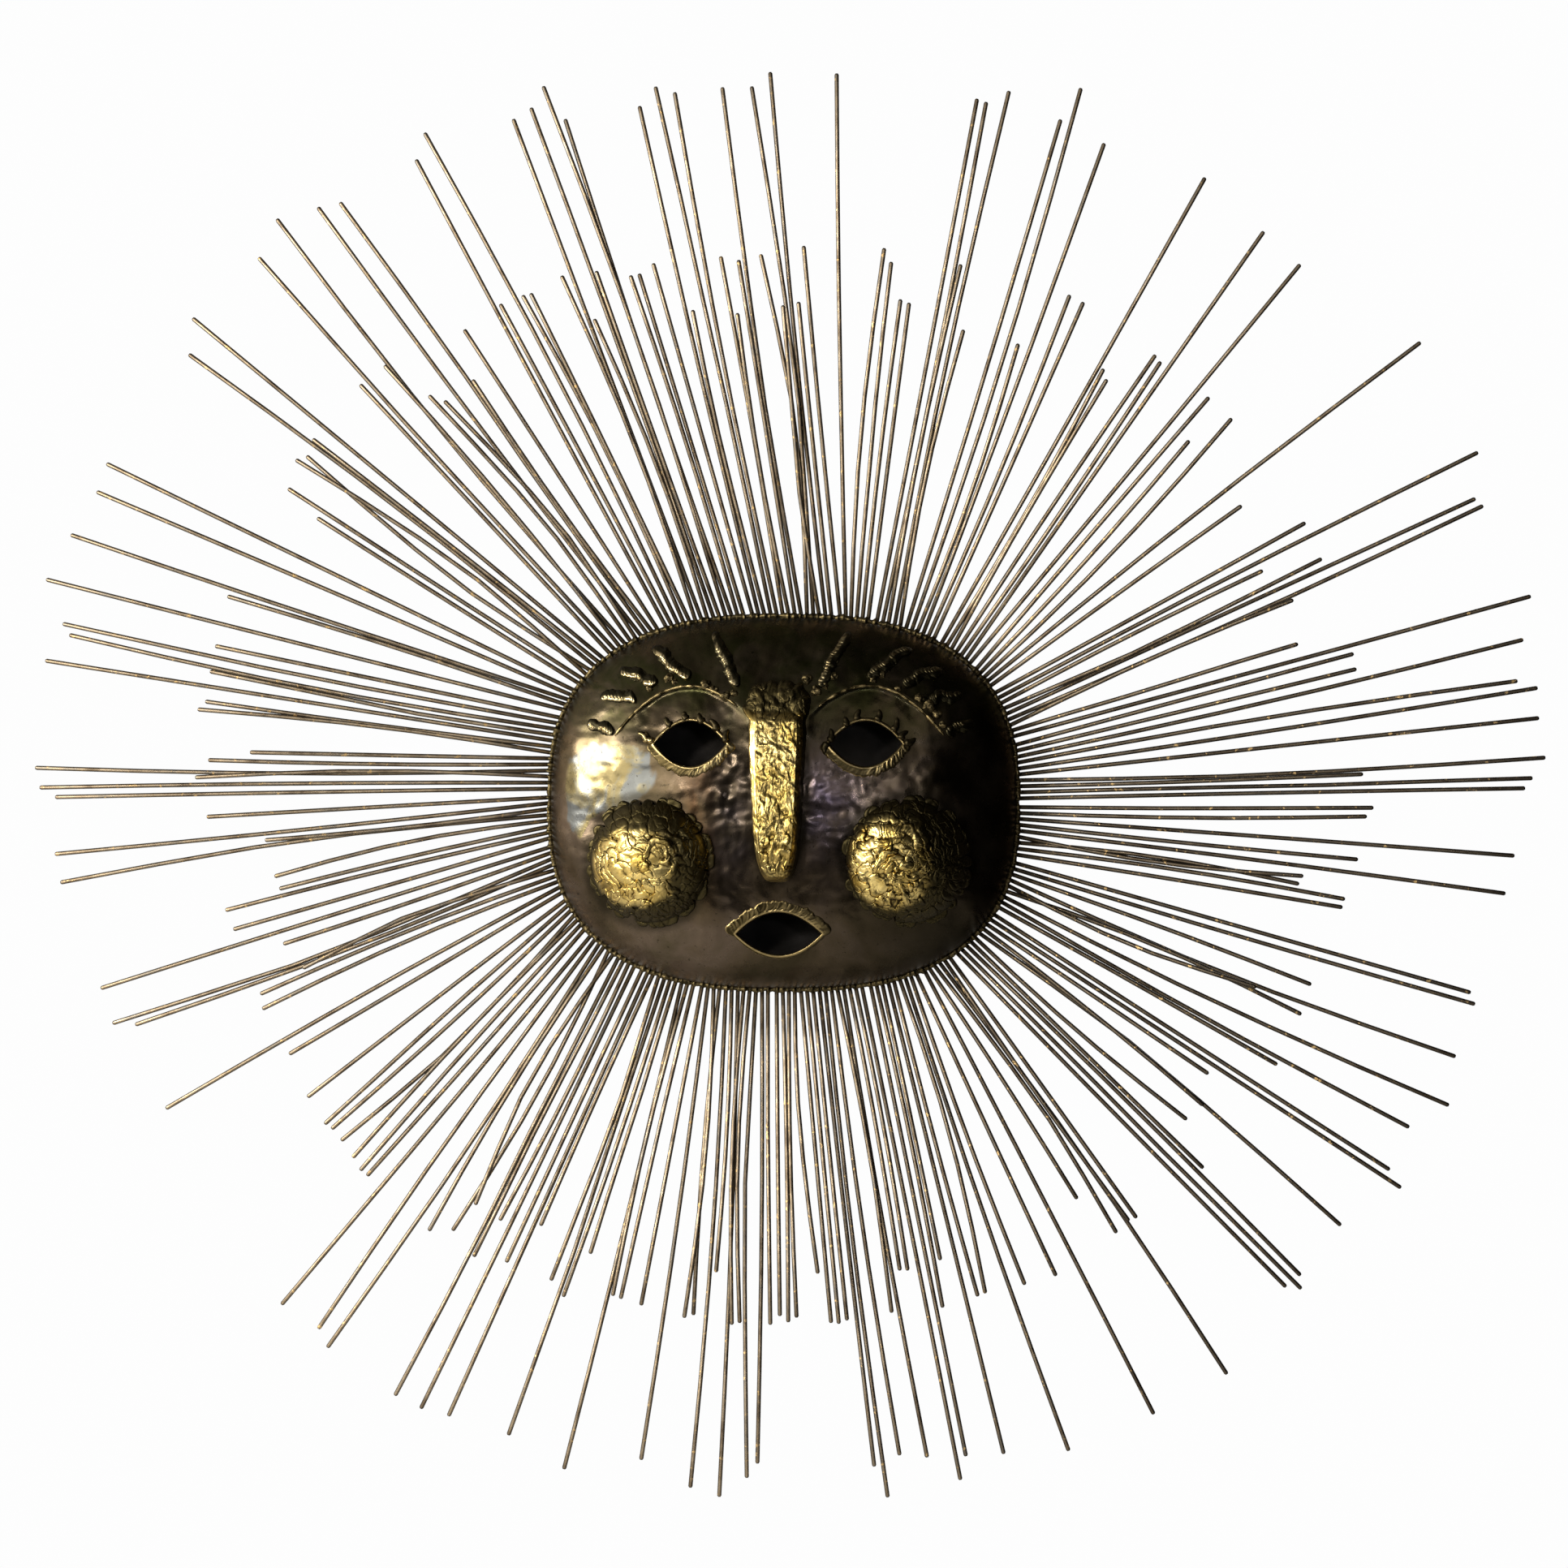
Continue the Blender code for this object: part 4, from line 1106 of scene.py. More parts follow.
def run_of_metal(name, routes):
    """One mesh of a closed tube along each route, a list of (points, radii)."""
    curve = bpy.data.curves.new(name, "CURVE")
    curve.dimensions = "3D"
    curve.bevel_depth, curve.bevel_resolution, curve.use_fill_caps = 1.0, TUBE_RESOLUTION, True
    for points, radii in routes:
        spline = curve.splines.new("POLY")
        spline.points.add(len(points) - 1)
        for stop, point, radius in zip(spline.points, points, radii):
            stop.co = (*point, 1.0)
            stop.radius = radius
    only(add_object(name, curve))
    bpy.ops.object.convert(target="MESH")
    obj = bpy.context.object
    close_up(obj)
    return obj


def resample(stops, count):
    """A smooth route through a few stops, by cubic blending."""
    stops = np.asarray(stops, float)
    padded = np.concatenate([[2 * stops[0] - stops[1]], stops, [2 * stops[-1] - stops[-2]]])
    places = np.linspace(0, len(stops) - 1, count)
    index = np.minimum(places.astype(int), len(stops) - 2)
    t = (places - index)[:, None]
    a, b, c, d = (padded[index + step] for step in range(4))
    bend = 2 * a - 5 * b + 4 * c - d
    return 0.5 * (2 * b + (c - a) * t + bend * t**2 + (3 * b - a - 3 * c + d) * t**3)


def rounded(count, steps=4):
    """Radius shares along a run, with round ends."""
    place = np.arange(count)
    near_end = np.minimum(place, count - 1 - place) / steps
    return np.sqrt(np.clip(1 - (1 - np.clip(near_end, 0, 1)) ** 2, 0.06, 1))


def roughen(obj, amount, size, seed, dark=0.15):
    """Pushes a mesh in and out along its normals and stores the low places as crevices."""
    points, normals = read_points(obj), read_points(obj, "normal")
    lumps = rough(points, size, seed, 3)
    write_points(obj, points + normals * (amount * lumps)[:, None])
    mark(obj, CREVICE, 0.45 - 0.8 * lumps)
    mark(obj, DARKNESS, np.zeros(len(points)) + dark)


# %% [markdown]
# The lashes are short drips that stand round the top of each eye and lean outwards. Each line below
# gives a lash: where it starts, from the left corner at -1 to the right corner at 1, and how far its
# tip lies sideways and up, in millimetres.

# %% Eyes with lashes, and the lips
LASH_WIDTH, LASH_LIFT = 0.0021, 0.0006
LASH_STEPS, LASH_ENDS = 18, 4
LASH_SWELL = ((0, 0.45, 0.85, 1), (1.7, 1.35, 0.9, 0.5))
LASHES = {
    "left": (
        (-1.16, -9, 9), (-0.98, -8, 9), (-0.50, -6, 7), (-0.08, -3, 7),
        (0.36, -4, 8), (0.72, -6, 10), (1.0, 1, 11),
    ),
    "right": (
        (-1.02, -2, -9), (-0.98, 1, 11), (-0.55, -1, 8), (-0.22, 2, 9),
        (0.28, 2, 10), (0.70, 4, 11), (0.93, 6, 7), (1.04, 9, 4),
    ),
}
# Widths of the band above and below the opening, and the least strength of its strokes.
EYE_BAND, LIP_BAND = (0.0028, 0.0080, 0.15), (0.0098, 0.0034, 0.45)


def lash_route(side, lash, chance):
    start, out, up = lash
    top = max(0.0, 1 - start * start)
    root = np.array([side * EYE_X + EYE_HALF[0] * start, EYE_Z + EYE_HALF[1] * top + 0.0008])
    run = np.array([out, up]) * 0.001
    aside = np.array([-run[1], run[0]]) * 0.16 * chance.choice((-1, 1))
    places = resample([root, root + run * 0.45 + aside, root + run], LASH_STEPS)
    swell = rounded(LASH_STEPS, LASH_ENDS) * np.interp(np.linspace(0, 1, LASH_STEPS), *LASH_SWELL)
    return on_face(places, np.full(LASH_STEPS, LASH_LIFT)), LASH_WIDTH * swell


def make_eye(side, word, seed):
    """The lashes are painted dark, and those past the left eye's far left corner are painted light, as a
    painted highlight.
    """
    node = f"eye_rim_{word}"
    rim = wrap_rim(f"brazed_{node}", (side * EYE_X, EYE_Z), EYE_HALF, *EYE_BAND, seed)
    chance = random.Random(seed)
    lashes = run_of_metal(f"lashes_{word}", [lash_route(side, lash, chance) for lash in LASHES[word]])
    out_from_eye = (read_points(lashes)[:, 0] + EYE_X) / EYE_HALF[0]
    # Painted highlight on the lashes past the left eye's far left corner.
    roughen(lashes, 0.0004, 0.004, seed, dark=0.97 - 0.97 * smooth_step(-0.90, -1.0, out_from_eye))
    finish(join(rim, lashes), DARK_BRAZE, "rim_braze", node)


make_eye(-1, "left", 21)
make_eye(1, "right", 22)
finish(wrap_rim("brazed_lips", (0.0, MOUTH_Z), MOUTH_HALF, *LIP_BAND, 31), DARK_BRAZE, "rim_braze", "lips")

# %% [markdown]
# ## Brows
#
# A thin wire is bent over each eye, and the lid is pressed in below it. Above it, drips of braze fan
# out like coarse hairs. Each drip is a low run with slanting crescents, like a twisted rope that is
# half sunk in the sheet. A long grid, rounded at its ends, follows the run.

# %% Brow wires and drips
BROW_WIRE = 0.0013
BROW_STEPS = 90
DRIP_CELLS = (120, 24)
DRIP_ROUTE_STEPS = 100
DRIP_HALF_WIDTH = 0.0054
DRIP_ROPE_SHARE = 0.74
DRIP_RISE, DRIP_SKIRT_RISE, DRIP_TWIST = 0.0034, 0.0012, 0.00045
DRIP_CRESCENT = 0.0026
DRIP_SWAY, DRIP_STOPS = 0.0018, (-0.04, 0.25, 0.5, 0.8, 1.14)
# Each drip's start along the brow and above it, and its run out and up, in shares of the face.
DRIPS = (
    (0.71, 0.035, 0.10, 0.06),
    (0.61, 0.070, 0.145, 0.02),
    (0.525, 0.075, 0.145, 0.07),
    (0.38, 0.050, 0.155, 0.145),
    (0.175, 0.110, 0.105, 0.265),
)
# How light each drip's flank is painted, for the left brow and the right brow, as a painted highlight.
DRIP_FLANK_LIGHT = {-1: (0.95, 0.95, 0.95, 0.95, 0.45), 1: (0.15, 0.10, 0.12, 0.20, 0.35)}


def make_brow(side, word, seed):
    places = []
    for step in range(BROW_STEPS):
        x = (BROW_INNER + (BROW_OUTER - BROW_INNER) * step / (BROW_STEPS - 1)) * HALF_WIDTH
        places.append((side * x, brow_height(x) + 0.0006))
    lumps = noise_at((step * 0.22, seed, 0) for step in range(BROW_STEPS))
    radii = BROW_WIRE * rounded(BROW_STEPS) * (1 + 0.45 * np.clip(lumps, -0.3, 1))
    brow = run_of_metal(f"brow_{word}", [(on_face(places, radii * 0.5), radii)])
    roughen(brow, 0.0003, 0.006, seed)
    finish(brow, DARK_BRAZE, "rim_braze", f"brow_wire_{word}")


def make_drip(side, word, number, drip, seed):
    start, rise, run_out, run_up = drip
    chance = random.Random(seed)
    root = np.array([side * start * HALF_WIDTH, brow_height(start * HALF_WIDTH) + rise * HALF_HEIGHT])
    run = np.array([side * run_out * HALF_WIDTH, run_up * HALF_HEIGHT])
    length = np.linalg.norm(run)
    across = np.array([-run[1], run[0]]) / length
    sway = [chance.uniform(-DRIP_SWAY, DRIP_SWAY) for _ in DRIP_STOPS]
    stops = [root + run * share + across * aside for share, aside in zip(DRIP_STOPS, sway)]
    route = resample(stops, DRIP_ROUTE_STEPS + 1)
    piece = make_grid(f"drip_{word}_{number}", *DRIP_CELLS)
    share, along, beside, behind = folded_oval(piece, SQUARENESS)
    along, beside = along * share, beside * share
    place = (along + 1) / 2 * DRIP_ROUTE_STEPS
    spine = np.stack([np.interp(place, np.arange(len(route)), line) for line in route.T], axis=1)
    lumps = noise_at((value * length * 80, seed, side) for value in along)
    lobes = np.abs(noise_at((a * length * 120, b, seed) for a, b in zip(along, beside)))
    swell = 1 + 0.30 * lumps + 0.45 * lobes * share
    x, z = (spine + across * (beside * DRIP_HALF_WIDTH * swell)[:, None]).T
    off = beside / DRIP_ROPE_SHARE + 0.25 * lumps
    rope = np.sqrt(np.clip(1 - off**2 - np.clip((np.abs(along) - 0.82) / 0.18, 0, 1) ** 2, 0, 1))
    twist = np.cos(math.tau * (along * length / 2 / DRIP_CRESCENT + 0.95 * off - 0.4 * off**2 + 1.4 * lumps))
    edge = smooth_step(1.0, 0.90, share)
    # The flank of each drip that faces the window, where a painted highlight goes.
    lit_flank = smooth_step(-0.05, 0.30, off) * smooth_step(0.98, 0.72, off) * smooth_step(0.92, 0.80, np.abs(along))
    lit_flank *= smooth_step(-0.35, 0.0, lumps + 0.5 * lobes)
    lift = rope * DRIP_RISE * (0.85 + 0.5 * lumps) + DRIP_TWIST * twist * rope * (0.10 + 0.90 * lit_flank)
    lift += DRIP_SKIRT_RISE * (0.35 + 1.3 * lobes) * edge * (1 - 0.6 * rope)
    lift = np.where(behind, UNDERSIDE, lift * edge + UNDERSIDE * (1 - edge))
    lay_on_face(piece, x, z, lift)
    mark(piece, CREVICE, 0.35 - 0.25 * twist)
    # Painted highlight on the flank. The rest of the drip is painted dark.
    mark(piece, DARKNESS, 0.97 - DRIP_FLANK_LIGHT[side][number - 1] * lit_flank)
    close_up(piece)
    finish(piece, DRIP_BRAZE, "rim_braze", f"brow_drip_{word}_{number}")


for side, word in ((-1, "left"), (1, "right")):
    make_brow(side, word, 40 + side)
    for number, drip in enumerate(DRIPS, 1):
        make_drip(side, word, number, drip, 50 + 10 * side + number)

# %% [markdown]
# A few blobs of braze fell beside the brows. One ball is modelled, flattened, and copied to each
# place, which is in millimetres from the face's centre, with its size last.

# %% Spilled blobs
BLOBS = (
    (-89, 100, 3.4), (-84, 97, 2.4), (-58, 95, 3.6), (-52, 91, 2.8), (-43, 86, 3.4), (-36, 88, 2.6),
    (-105, 92, 2.4), (23, 99, 3.4), (30, 90, 3.8), (37, 94, 2.8), (44, 101, 3.2), (82, 104, 3.2),
    (76, 99, 2.4), (96, 92, 2.2),
    (113, 84, 3.4), (120, 78, 4.0), (127, 71, 3.4), (131, 63, 2.6), (124, 84, 2.6),
)
BLOB_FLATNESS, BLOB_SCALE = 0.62, 0.0012


def make_blobs():
    blank = start_with(bpy.ops.mesh.primitive_ico_sphere_add, "blob_blank", subdivisions=4, radius=1)
    with editing(blank):
        bpy.ops.transform.resize(value=(1, BLOB_FLATNESS, 1))
    ball = read_points(blank)
    blobs = []
    for number, (x, z, size) in enumerate(BLOBS):
        blob = add_object(f"blob_{number}", blank.data.copy())
        middle = on_face([(x * 0.001, z * 0.001)], [0.0])[0]
        lumps = rough(ball + number, 0.9, 3.0, 3)
        write_points(blob, middle + ball * size * BLOB_SCALE * (1 + 0.38 * lumps)[:, None])
        mark(blob, CREVICE, 0.45 - 0.6 * lumps)
        mark(blob, DARKNESS, np.full(len(ball), 0.80))
        blobs.append(blob)
    blobs = join(*blobs)
    blobs.name = blobs.data.name = "spilled_braze"
    bpy.data.objects.remove(blank)
    outward_normals(blobs)
    finish(blobs, DARK_BRAZE, "rim_braze")


make_blobs()

# %% [markdown]
# ## Rays
#
# The rods are cut to three lengths and brazed side by side round the rim, in two rows. They leave
# the rim at even spaces, and the maker let their tips fall where they would, some in pairs. Each
# word below is one bundle's rhythm: a long, middle or short rod for each letter, and a dot for a gap.

# %% The rhythm of the rays
LONG_RAY, MIDDLE_RAY, SHORT_RAY = 0.436, 0.292, 0.252
RAY_SPREAD = {"L": 0.045, "M": 0.022, "S": 0.03}
LOWER_RAYS_CUT = 0.10
LOWER_RAYS_START = 0.33
SIDE_RAYS_CUT = 0.045
RAY_LEAN = {"L": 4.0, "M": 8.0, "S": 11.0}
RAY_LEAN_SPREAD = 1.5
RIM_BEAD_SIDE = 0.0076
RIM_BEAD_GAP = 0.0010
BACK_ROW_DEPTH, FRONT_ROW_DEPTH = 0.0050, 0.0076
BUNDLE_MARGIN = 0.7
RAY_FAN_REACH = 0.62
KNEE_SHARES = (0.30, 0.62)
KNEE_PUSH = 0.006
KNEE_CHANCE = 0.25
KNEE_ROOM_AT_BORDER, KNEE_ROOM_PER_RAY = 0.1, 0.45
RAY_SEED = 7
ROD_RADIUS = 0.00175
ROD_ROOT = 0.0036
ROD_BOW = 0.0060
ROD_RIGHTWARD_SHADE = 0.70
SHADED_RAY_WAY = (0.93, 0.0, -0.37)
RAY_RHYTHM = (
    ".LLML...L..LL...LM.M",
    "L.S......SLLM.SL.M..",
    "....S..L.......M.S.M",
    ".L....LMM...SSL.....",
    "M.M..LS..LL....SLMLL",
    "...SS.MM......L....M",
    "SLSLM.LMSM.L.LSL..M.",
    "MM.LLMLSLM....MM.LML",
    "....M..SL.L.SSLM..LM",
    ".......L.MLMM...MS..",
    "....L..L....LM...L..",
    "MLLM.L.MM.....SMLMLL",
    "..M..LS.L...S.SM..M.",
    "L.S.LLSM.M.....L.M..",
    "....M....MM.M..M.MM.",
    "L....L.L..M..MS.LMSL",
    ".MLS....MLM.S...LMM.",
    ".M..L...MML.SLMMLL.M",
    "MMM...SMMMLL.L.MLSSL",
    "LMS.L.MM...L.M....M.",
    ".L.....S.MLMM.......",
    ".LLLM...S.LS....SLL.",
    "..ML...L..MSL.M...LL",
    "......MMSSL.M.L...MM",
)


def rim_distance(angle):
    across = (abs(math.cos(angle)) / HALF_WIDTH) ** SQUARENESS
    upright = (abs(math.sin(angle)) / HALF_HEIGHT) ** SQUARENESS
    return (across + upright) ** (-1 / SQUARENESS)


def rim_line(outside):
    """Points evenly spaced along a line that runs round the rim, and a function that finds a share of it."""
    angles = np.linspace(0, math.tau, 721)
    reach = np.array([rim_distance(angle) for angle in angles]) + outside
    points = np.stack([reach * np.cos(angles), reach * np.sin(angles)], axis=1)
    along = np.concatenate([[0], np.cumsum(np.linalg.norm(np.diff(points, axis=0), axis=1))])

    def at(share):
        wanted = (share % 1.0) * along[-1]
        return np.array([np.interp(wanted, along, points[:, 0]), np.interp(wanted, along, points[:, 1])])

    return at, along[-1]


# %% [markdown]
# One rod is modelled once: a circle of eight points, extruded in five steps and rounded at the tip.
# Each ray is a copy of its mesh, stretched along its own slightly bowed route.


# %% One rod, and its copies
ROD_SIDES, ROD_STEPS, ROD_TIP = 8, 5, 0.55
# Painted shade round each rod: a light front, dark sides, and a little darker towards the tip.
ROD_ROUND_SHADE = ((-1.0, -0.7, 0.0, 0.7, 1.0), (0.0, 0.80, 1.0, 0.9, 0.4))
ROD_TIPWARD_SHADE = ((0.0, 0.2, 1.0), (0.0, 0.18, 0.30))


def make_rod_blank():
    circle = bpy.ops.mesh.primitive_circle_add
    blank = start_with(circle, "rod_blank", vertices=ROD_SIDES, radius=1, fill_type="NGON")
    with editing(blank):
        for _ in range(ROD_STEPS):
            bpy.ops.mesh.extrude_region_move(TRANSFORM_OT_translate={"value": (0, 0, 0.2)})
        bpy.ops.mesh.extrude_region_move(TRANSFORM_OT_translate={"value": (0, 0, 1.0)})
        bpy.ops.transform.resize(value=(ROD_TIP, ROD_TIP, 1))
    outward_normals(blank)
    return blank


rod_blank = make_rod_blank()
rod_points = read_points(rod_blank)
rod_painted_shade = np.interp(rod_points[:, 1], *ROD_ROUND_SHADE)
rod_painted_shade = np.maximum(rod_painted_shade, np.interp(rod_points[:, 2], *ROD_TIPWARD_SHADE))
print("one rod:", len(rod_points), "points")


def make_rod(name, route, bow):
    """A copy of the blank along a route of 2 or 3 points. bow is its sideways swing, as a vector."""
    length_share = np.clip(rod_points[:, 2], 0, 1)
    beyond = (rod_points[:, 2] - length_share) * ROD_RADIUS * 0.7
    ahead = (route[-1] - route[0]) / np.linalg.norm(route[-1] - route[0])
    start, end = route[0] - ahead * ROD_ROOT, route[-1]
    centre = start + (end - start) * length_share[:, None]
    if len(route) == 3:
        knee_share = np.dot(route[1] - start, ahead) / np.linalg.norm(end - start)
        knee = route[1] - (start + (end - start) * knee_share)
        bulge = np.interp(length_share, (0, knee_share, 1), (0, 1, 0))
        centre = centre + knee * bulge[:, None]
    centre = centre + bow * np.sin(math.pi * length_share)[:, None]
    side = np.cross((0, 1, 0), ahead)
    side /= np.linalg.norm(side)
    up = np.cross(ahead, side)
    skin = (rod_points[:, :1] * side + rod_points[:, 1:2] * up) * ROD_RADIUS
    rod = add_object(name, rod_blank.data.copy())
    write_points(rod, centre + skin + ahead * beyond[:, None])
    # Painted shade on rods that point right and down, away from the light.
    painted_shade = ROD_RIGHTWARD_SHADE * smooth_step(0.2, 0.95, float(np.dot(ahead, SHADED_RAY_WAY)))
    mark(rod, DARKNESS, 1 - (1 - rod_painted_shade) * (1 - painted_shade))
    return rod


# %% [markdown]
# The next functions work out where each rod runs. The draws of chance come in the same order as for
# the solids, so every rod lies along its own solid.


# %% Routes of the rods
def ray_length(kind, aim, chance):
    length = {"L": LONG_RAY, "M": MIDDLE_RAY, "S": SHORT_RAY}[kind]
    direction = aim / np.linalg.norm(aim)
    lower = min(1.0, max(0.0, -direction[1] / LOWER_RAYS_START))
    cut = 1 - LOWER_RAYS_CUT * lower - SIDE_RAYS_CUT * direction[0] ** 4
    return length * cut * (1 + RAY_SPREAD[kind] * chance.uniform(-1, 1))


def ray_route(kind, root, aim, room, chance):
    length = ray_length(kind, aim, chance)
    lean = math.radians(RAY_LEAN[kind] + RAY_LEAN_SPREAD * chance.uniform(-1, 1))
    depth = BACK_ROW_DEPTH if kind == "L" else FRONT_ROW_DEPTH
    along = (aim - root) / np.linalg.norm(aim - root)
    across = np.array([-along[1], along[0]])
    knee = (chance.uniform(*KNEE_SHARES), KNEE_PUSH * chance.uniform(-1, 1) * room)
    bent = chance.random() < KNEE_CHANCE
    stops = [(0.0, 0.0), knee, (1.0, 0.0)] if bent else [(0.0, 0.0), (1.0, 0.0)]
    route = []
    for part, aside in stops:
        flat = root + along * length * part * math.cos(lean) + across * aside
        forward = depth + length * part * math.sin(lean)
        route.append(np.array([flat[0], -forward, flat[1] + FACE_CENTRE]))
    return route, np.array([across[0], 0.0, across[1]])


def bundle_routes(number, word, first, total, at):
    chance = random.Random(RAY_SEED * 100 + number)
    rays = [(slot, kind) for slot, kind in enumerate(word) if kind != "."]
    spacing = (len(rays) - 2 * BUNDLE_MARGIN) / (len(rays) - 1)
    for place, (slot, kind) in enumerate(rays):
        share = (first + BUNDLE_MARGIN + place * spacing) / total
        turn = math.tau * (number + (slot + 0.5) / len(word)) / len(RAY_RHYTHM)
        aim = RAY_FAN_REACH * np.array([math.cos(turn), math.sin(turn)])
        inner = min(place, len(rays) - 1 - place)
        room = min(1.0, KNEE_ROOM_AT_BORDER + KNEE_ROOM_PER_RAY * inner)
        route, across = ray_route(kind, at(share), aim, room, chance)
        yield share, route, across * room


# %% [markdown]
# Between the rods and the sheet lies the rim's bead: a thin lumpy run of braze, with a knot at every
# rod. It is one run for each bundle, joined to its rods as the torch joined them.

# %% Rays and the rim's bead
BEAD_OUTSIDE, BEAD_RADIUS, BEAD_DEPTH = 0.0006, 0.0021, 0.0092
BEAD_STEPS_PER_RAY, BEAD_OVERLAP, BEAD_WANDER = 8, 0.15, 0.0016
KNOT_RADIUS = 0.0036


def bead_run(name, first, count, total, at, knots, seed):
    steps = count * BEAD_STEPS_PER_RAY
    shares = np.linspace((first - BEAD_OVERLAP) / total, (first + count + BEAD_OVERLAP) / total, steps)
    places = np.array([at(share) for share in shares])
    wobble = noise_at((*place * 160, 0.0) for place in places)
    aside = noise_at((*place * 110, 5.0) for place in places)
    chance = random.Random(seed)
    knot = np.zeros(steps)
    for share in knots:
        middle = share + chance.uniform(-0.12, 0.12) / total
        size, width = chance.uniform(0.2, 1.3), chance.uniform(0.13, 0.24)
        knot = np.maximum(knot, size * np.exp(-(((shares - middle) * total / width) ** 2)))
    radii = BEAD_RADIUS * (1 + 0.55 * wobble) + (KNOT_RADIUS - BEAD_RADIUS) * knot
    spine = before_wall(places[:, 0], BEAD_DEPTH + BEAD_WANDER * aside, places[:, 1])
    bead = run_of_metal(name, [(spine, radii)])
    roughen(bead, 0.0008, 0.0040, 1.0, dark=0.80)
    finish(bead, DARK_BRAZE, "rim_braze")


def make_bundle(number, word, first, total, rod_line, bead_line):
    count = len(word) - word.count(".")
    label = f"{number + 1:02d}"
    sway = random.Random(number)
    rods, knots = [], []
    for index, (share, route, across) in enumerate(bundle_routes(number, word, first, total, rod_line)):
        rods.append(make_rod(f"rays_{label}_rod_{index}", route, across * ROD_BOW * sway.uniform(-1, 1)))
        knots.append(share)
    rods = join(*rods)
    rods.name = rods.data.name = f"rays_{label}"
    finish(rods, ROD_METAL, "ray_rod", f"ray_bundle_{label}")
    bead_run(f"rim_bead_{label}", first, count, total, bead_line, knots, number + 1)
    return count


rod_line, rod_line_length = rim_line(RIM_BEAD_GAP + RIM_BEAD_SIDE / 2)
bead_line, _ = rim_line(BEAD_OUTSIDE)
total_rays = sum(len(word) - word.count(".") for word in RAY_RHYTHM)
first_ray = 0
for number, word in enumerate(RAY_RHYTHM):
    first_ray += make_bundle(number, word, first_ray, total_rays, rod_line, bead_line)
bpy.data.objects.remove(rod_blank)
print("rays:", total_rays, "spaced", round(1000 * rod_line_length / total_rays, 1), "mm")

# %% [markdown]
# ## Camera, light and floor
#
# The photograph was taken from a few degrees right of straight ahead, with a long lens. A big soft
# window stands at the left, so the left side shines and the right side falls into the dark. A lamp
# nearer the front gives the small glints, and the floor throws a little light up at the chin. The
# plain Standard view keeps the white between the thin rods from eating into them.

# %% The view
PHOTO_PIXELS = 1932
METRES_PER_PIXEL = 0.00066
FACE_CENTRE_ROW = 989
CAMERA_DISTANCE = 6.0
CAMERA_TURN = math.radians(4.0)
FILM_WIDTH = 36.0

aim = Vector((0.0, 0.0, FACE_CENTRE + (FACE_CENTRE_ROW - PHOTO_PIXELS / 2) * METRES_PER_PIXEL))
lens_data = bpy.data.cameras.new("long_lens")
lens_data.lens = FILM_WIDTH * CAMERA_DISTANCE / (PHOTO_PIXELS * METRES_PER_PIXEL)
camera = add_object("long_lens", lens_data)
away = Vector((math.sin(CAMERA_TURN), -math.cos(CAMERA_TURN), 0.0))
camera.location = aim + away * CAMERA_DISTANCE
camera.rotation_euler = (-away).to_track_quat("-Z", "Y").to_euler()
bpy.context.scene.camera = camera
bpy.context.scene.view_settings.view_transform = "Standard"
print("lens:", round(lens_data.lens), "mm")

# %% The light
# Name, degrees to the right of straight ahead, height for each metre away, metres away, size, watts, colour.
LIGHTS = (
    ("window", -66, 0.17, 2.0, (0.80, 0.52), 33, (1.0, 0.95, 0.84)),
    ("room", -38, 0.10, 3.0, (1.6, 1.3), 24, (1.0, 0.94, 0.80)),
    ("lamp", -20, 0.22, 3.0, (0.22, 0.22), 17, (1.0, 0.96, 0.92)),
    ("bounce", -50, -0.75, 2.2, (0.9, 1.0), 6, (1.0, 0.90, 0.76)),
    ("fill", 16, 0.50, 3.0, (1.6, 1.3), 3.0, (1.0, 0.95, 0.80)),
    ("far_lamp", 15, 0.06, 3.0, (0.16, 0.16), 5, (0.92, 0.92, 1.0)),
    ("behind", 165, 0.45, 3.0, (1.6, 1.3), 10, (1.0, 0.97, 0.92)),
)


def soft_light(name, turn, height, distance, size, power, colour):
    """An area light that faces the piece."""
    data = bpy.data.lights.new(name, "AREA")
    data.shape = "RECTANGLE"
    data.size, data.size_y = size
    data.energy, data.color = power, colour
    light = add_object(name, data)
    angle = math.radians(turn)
    offset = Vector((math.sin(angle), -math.cos(angle), height)) * distance
    light.location = aim + offset
    light.rotation_euler = (-offset).to_track_quat("-Z", "Y").to_euler()


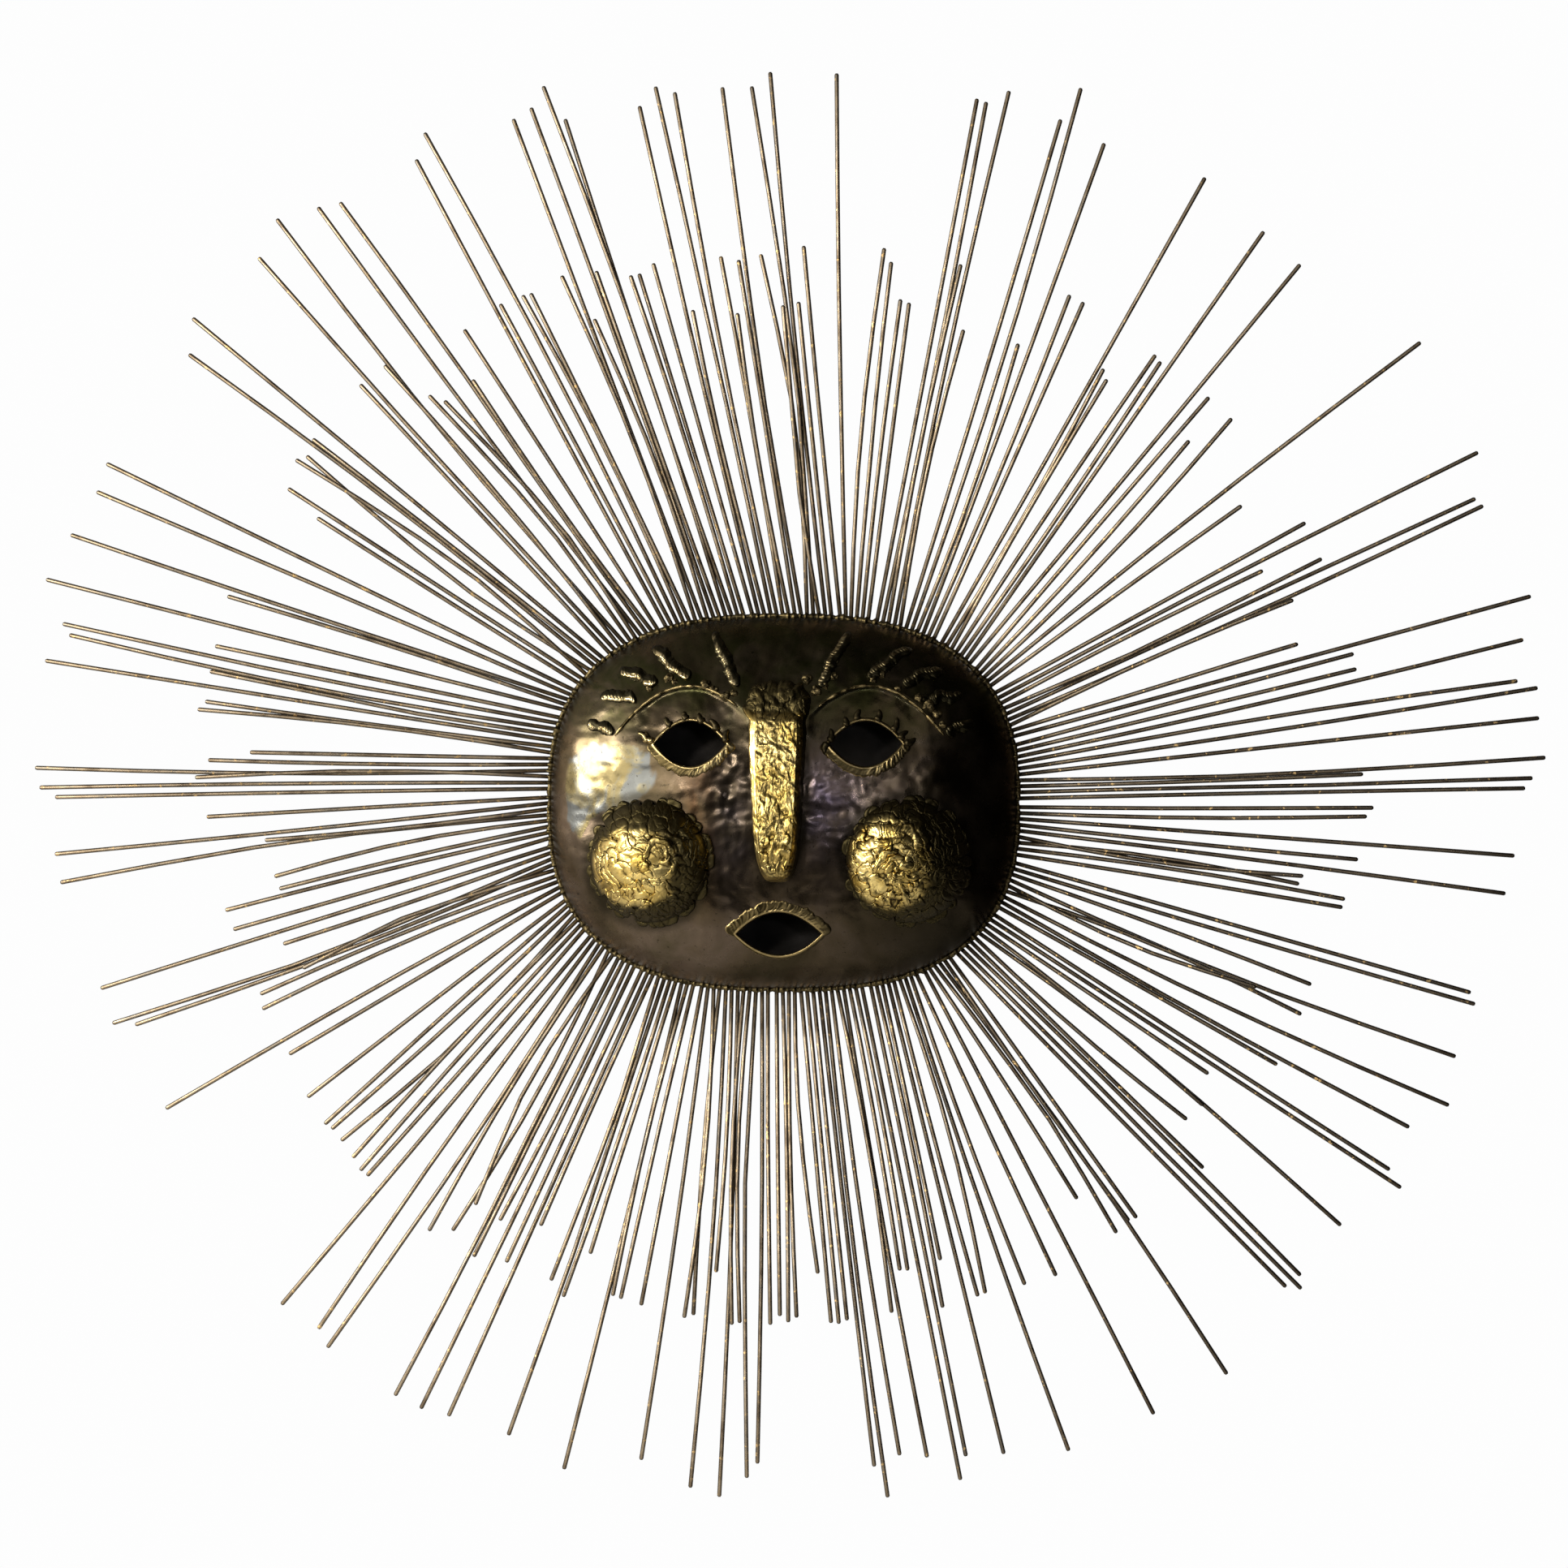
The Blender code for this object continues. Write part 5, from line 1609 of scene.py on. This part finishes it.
for light in LIGHTS:
    soft_light(*light)
print("lights:", len(LIGHTS))

# %% [markdown]
# Polished metal shows what is round it more than it shows light. The side with the window is pale,
# the room in front is dim and the right side is dark. The camera alone sees plain white behind it.

# %% The surroundings
WHITE_SEEN = 0.985
GLOW_FROM_LEFT_TO_RIGHT = ((0.0, 0.70), (0.30, 0.27), (0.50, 0.055), (0.72, 0.012), (1.0, 0.004))

world = bpy.data.worlds.new("pale_left_and_dark_right")
bpy.context.scene.world = world
sky = Nodes(world)
split = sky.add("SeparateXYZ", Vector=sky.add("TexCoord").outputs["Generated"])
rightward = sky.add("MapRange", Value=split.outputs["X"], From_Min=-1.0).outputs["Result"]
warm_glow = [(place, (value, 0.95 * value, 0.86 * value)) for place, value in GLOW_FROM_LEFT_TO_RIGHT]
sky.feed(sky.tree.nodes["Background"].inputs["Color"], sky.ramp(rightward, *warm_glow))
white = sky.add("Background", Color=(1.0, 1.0, 1.0), Strength=WHITE_SEEN)
choose = sky.add("MixShader", Fac=sky.add("LightPath").outputs["Is Camera Ray"])
sky.feed(choose.inputs[1], sky.tree.nodes["Background"].outputs["Background"])
sky.feed(choose.inputs[2], white.outputs["Background"])
sky.feed(sky.tree.nodes["World Output"].inputs["Surface"], choose.outputs["Shader"])
print("white seen by the camera:", WHITE_SEEN)

# %% [markdown]
# The floor lies well below the lowest ray, because the piece hangs on a wall.

# %% The floor
FLOOR_DROP = 0.25

floor_place = (0, 0, solids_box[0].z - FLOOR_DROP)
floor = start_with(bpy.ops.mesh.primitive_plane_add, "pale_floor", size=2.0, location=floor_place)
paint = Metal("pale_floor", 0.8, metallic=0.0)
paint.feed(paint.shader.inputs["Base Color"], (0.85, 0.85, 0.84))
floor.data.materials.append(paint.material)
floor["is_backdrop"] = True
print("floor at", round(floor_place[2], 3), "m")

# %% [markdown]
# The last step gives both boxes, the solids' and the finished piece's, so they can be compared.

# %% Sizes of both boxes
boxes = {"solids": solids_box, "piece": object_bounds()}
{name: [list(corner) for corner in box] for name, box in boxes.items()}
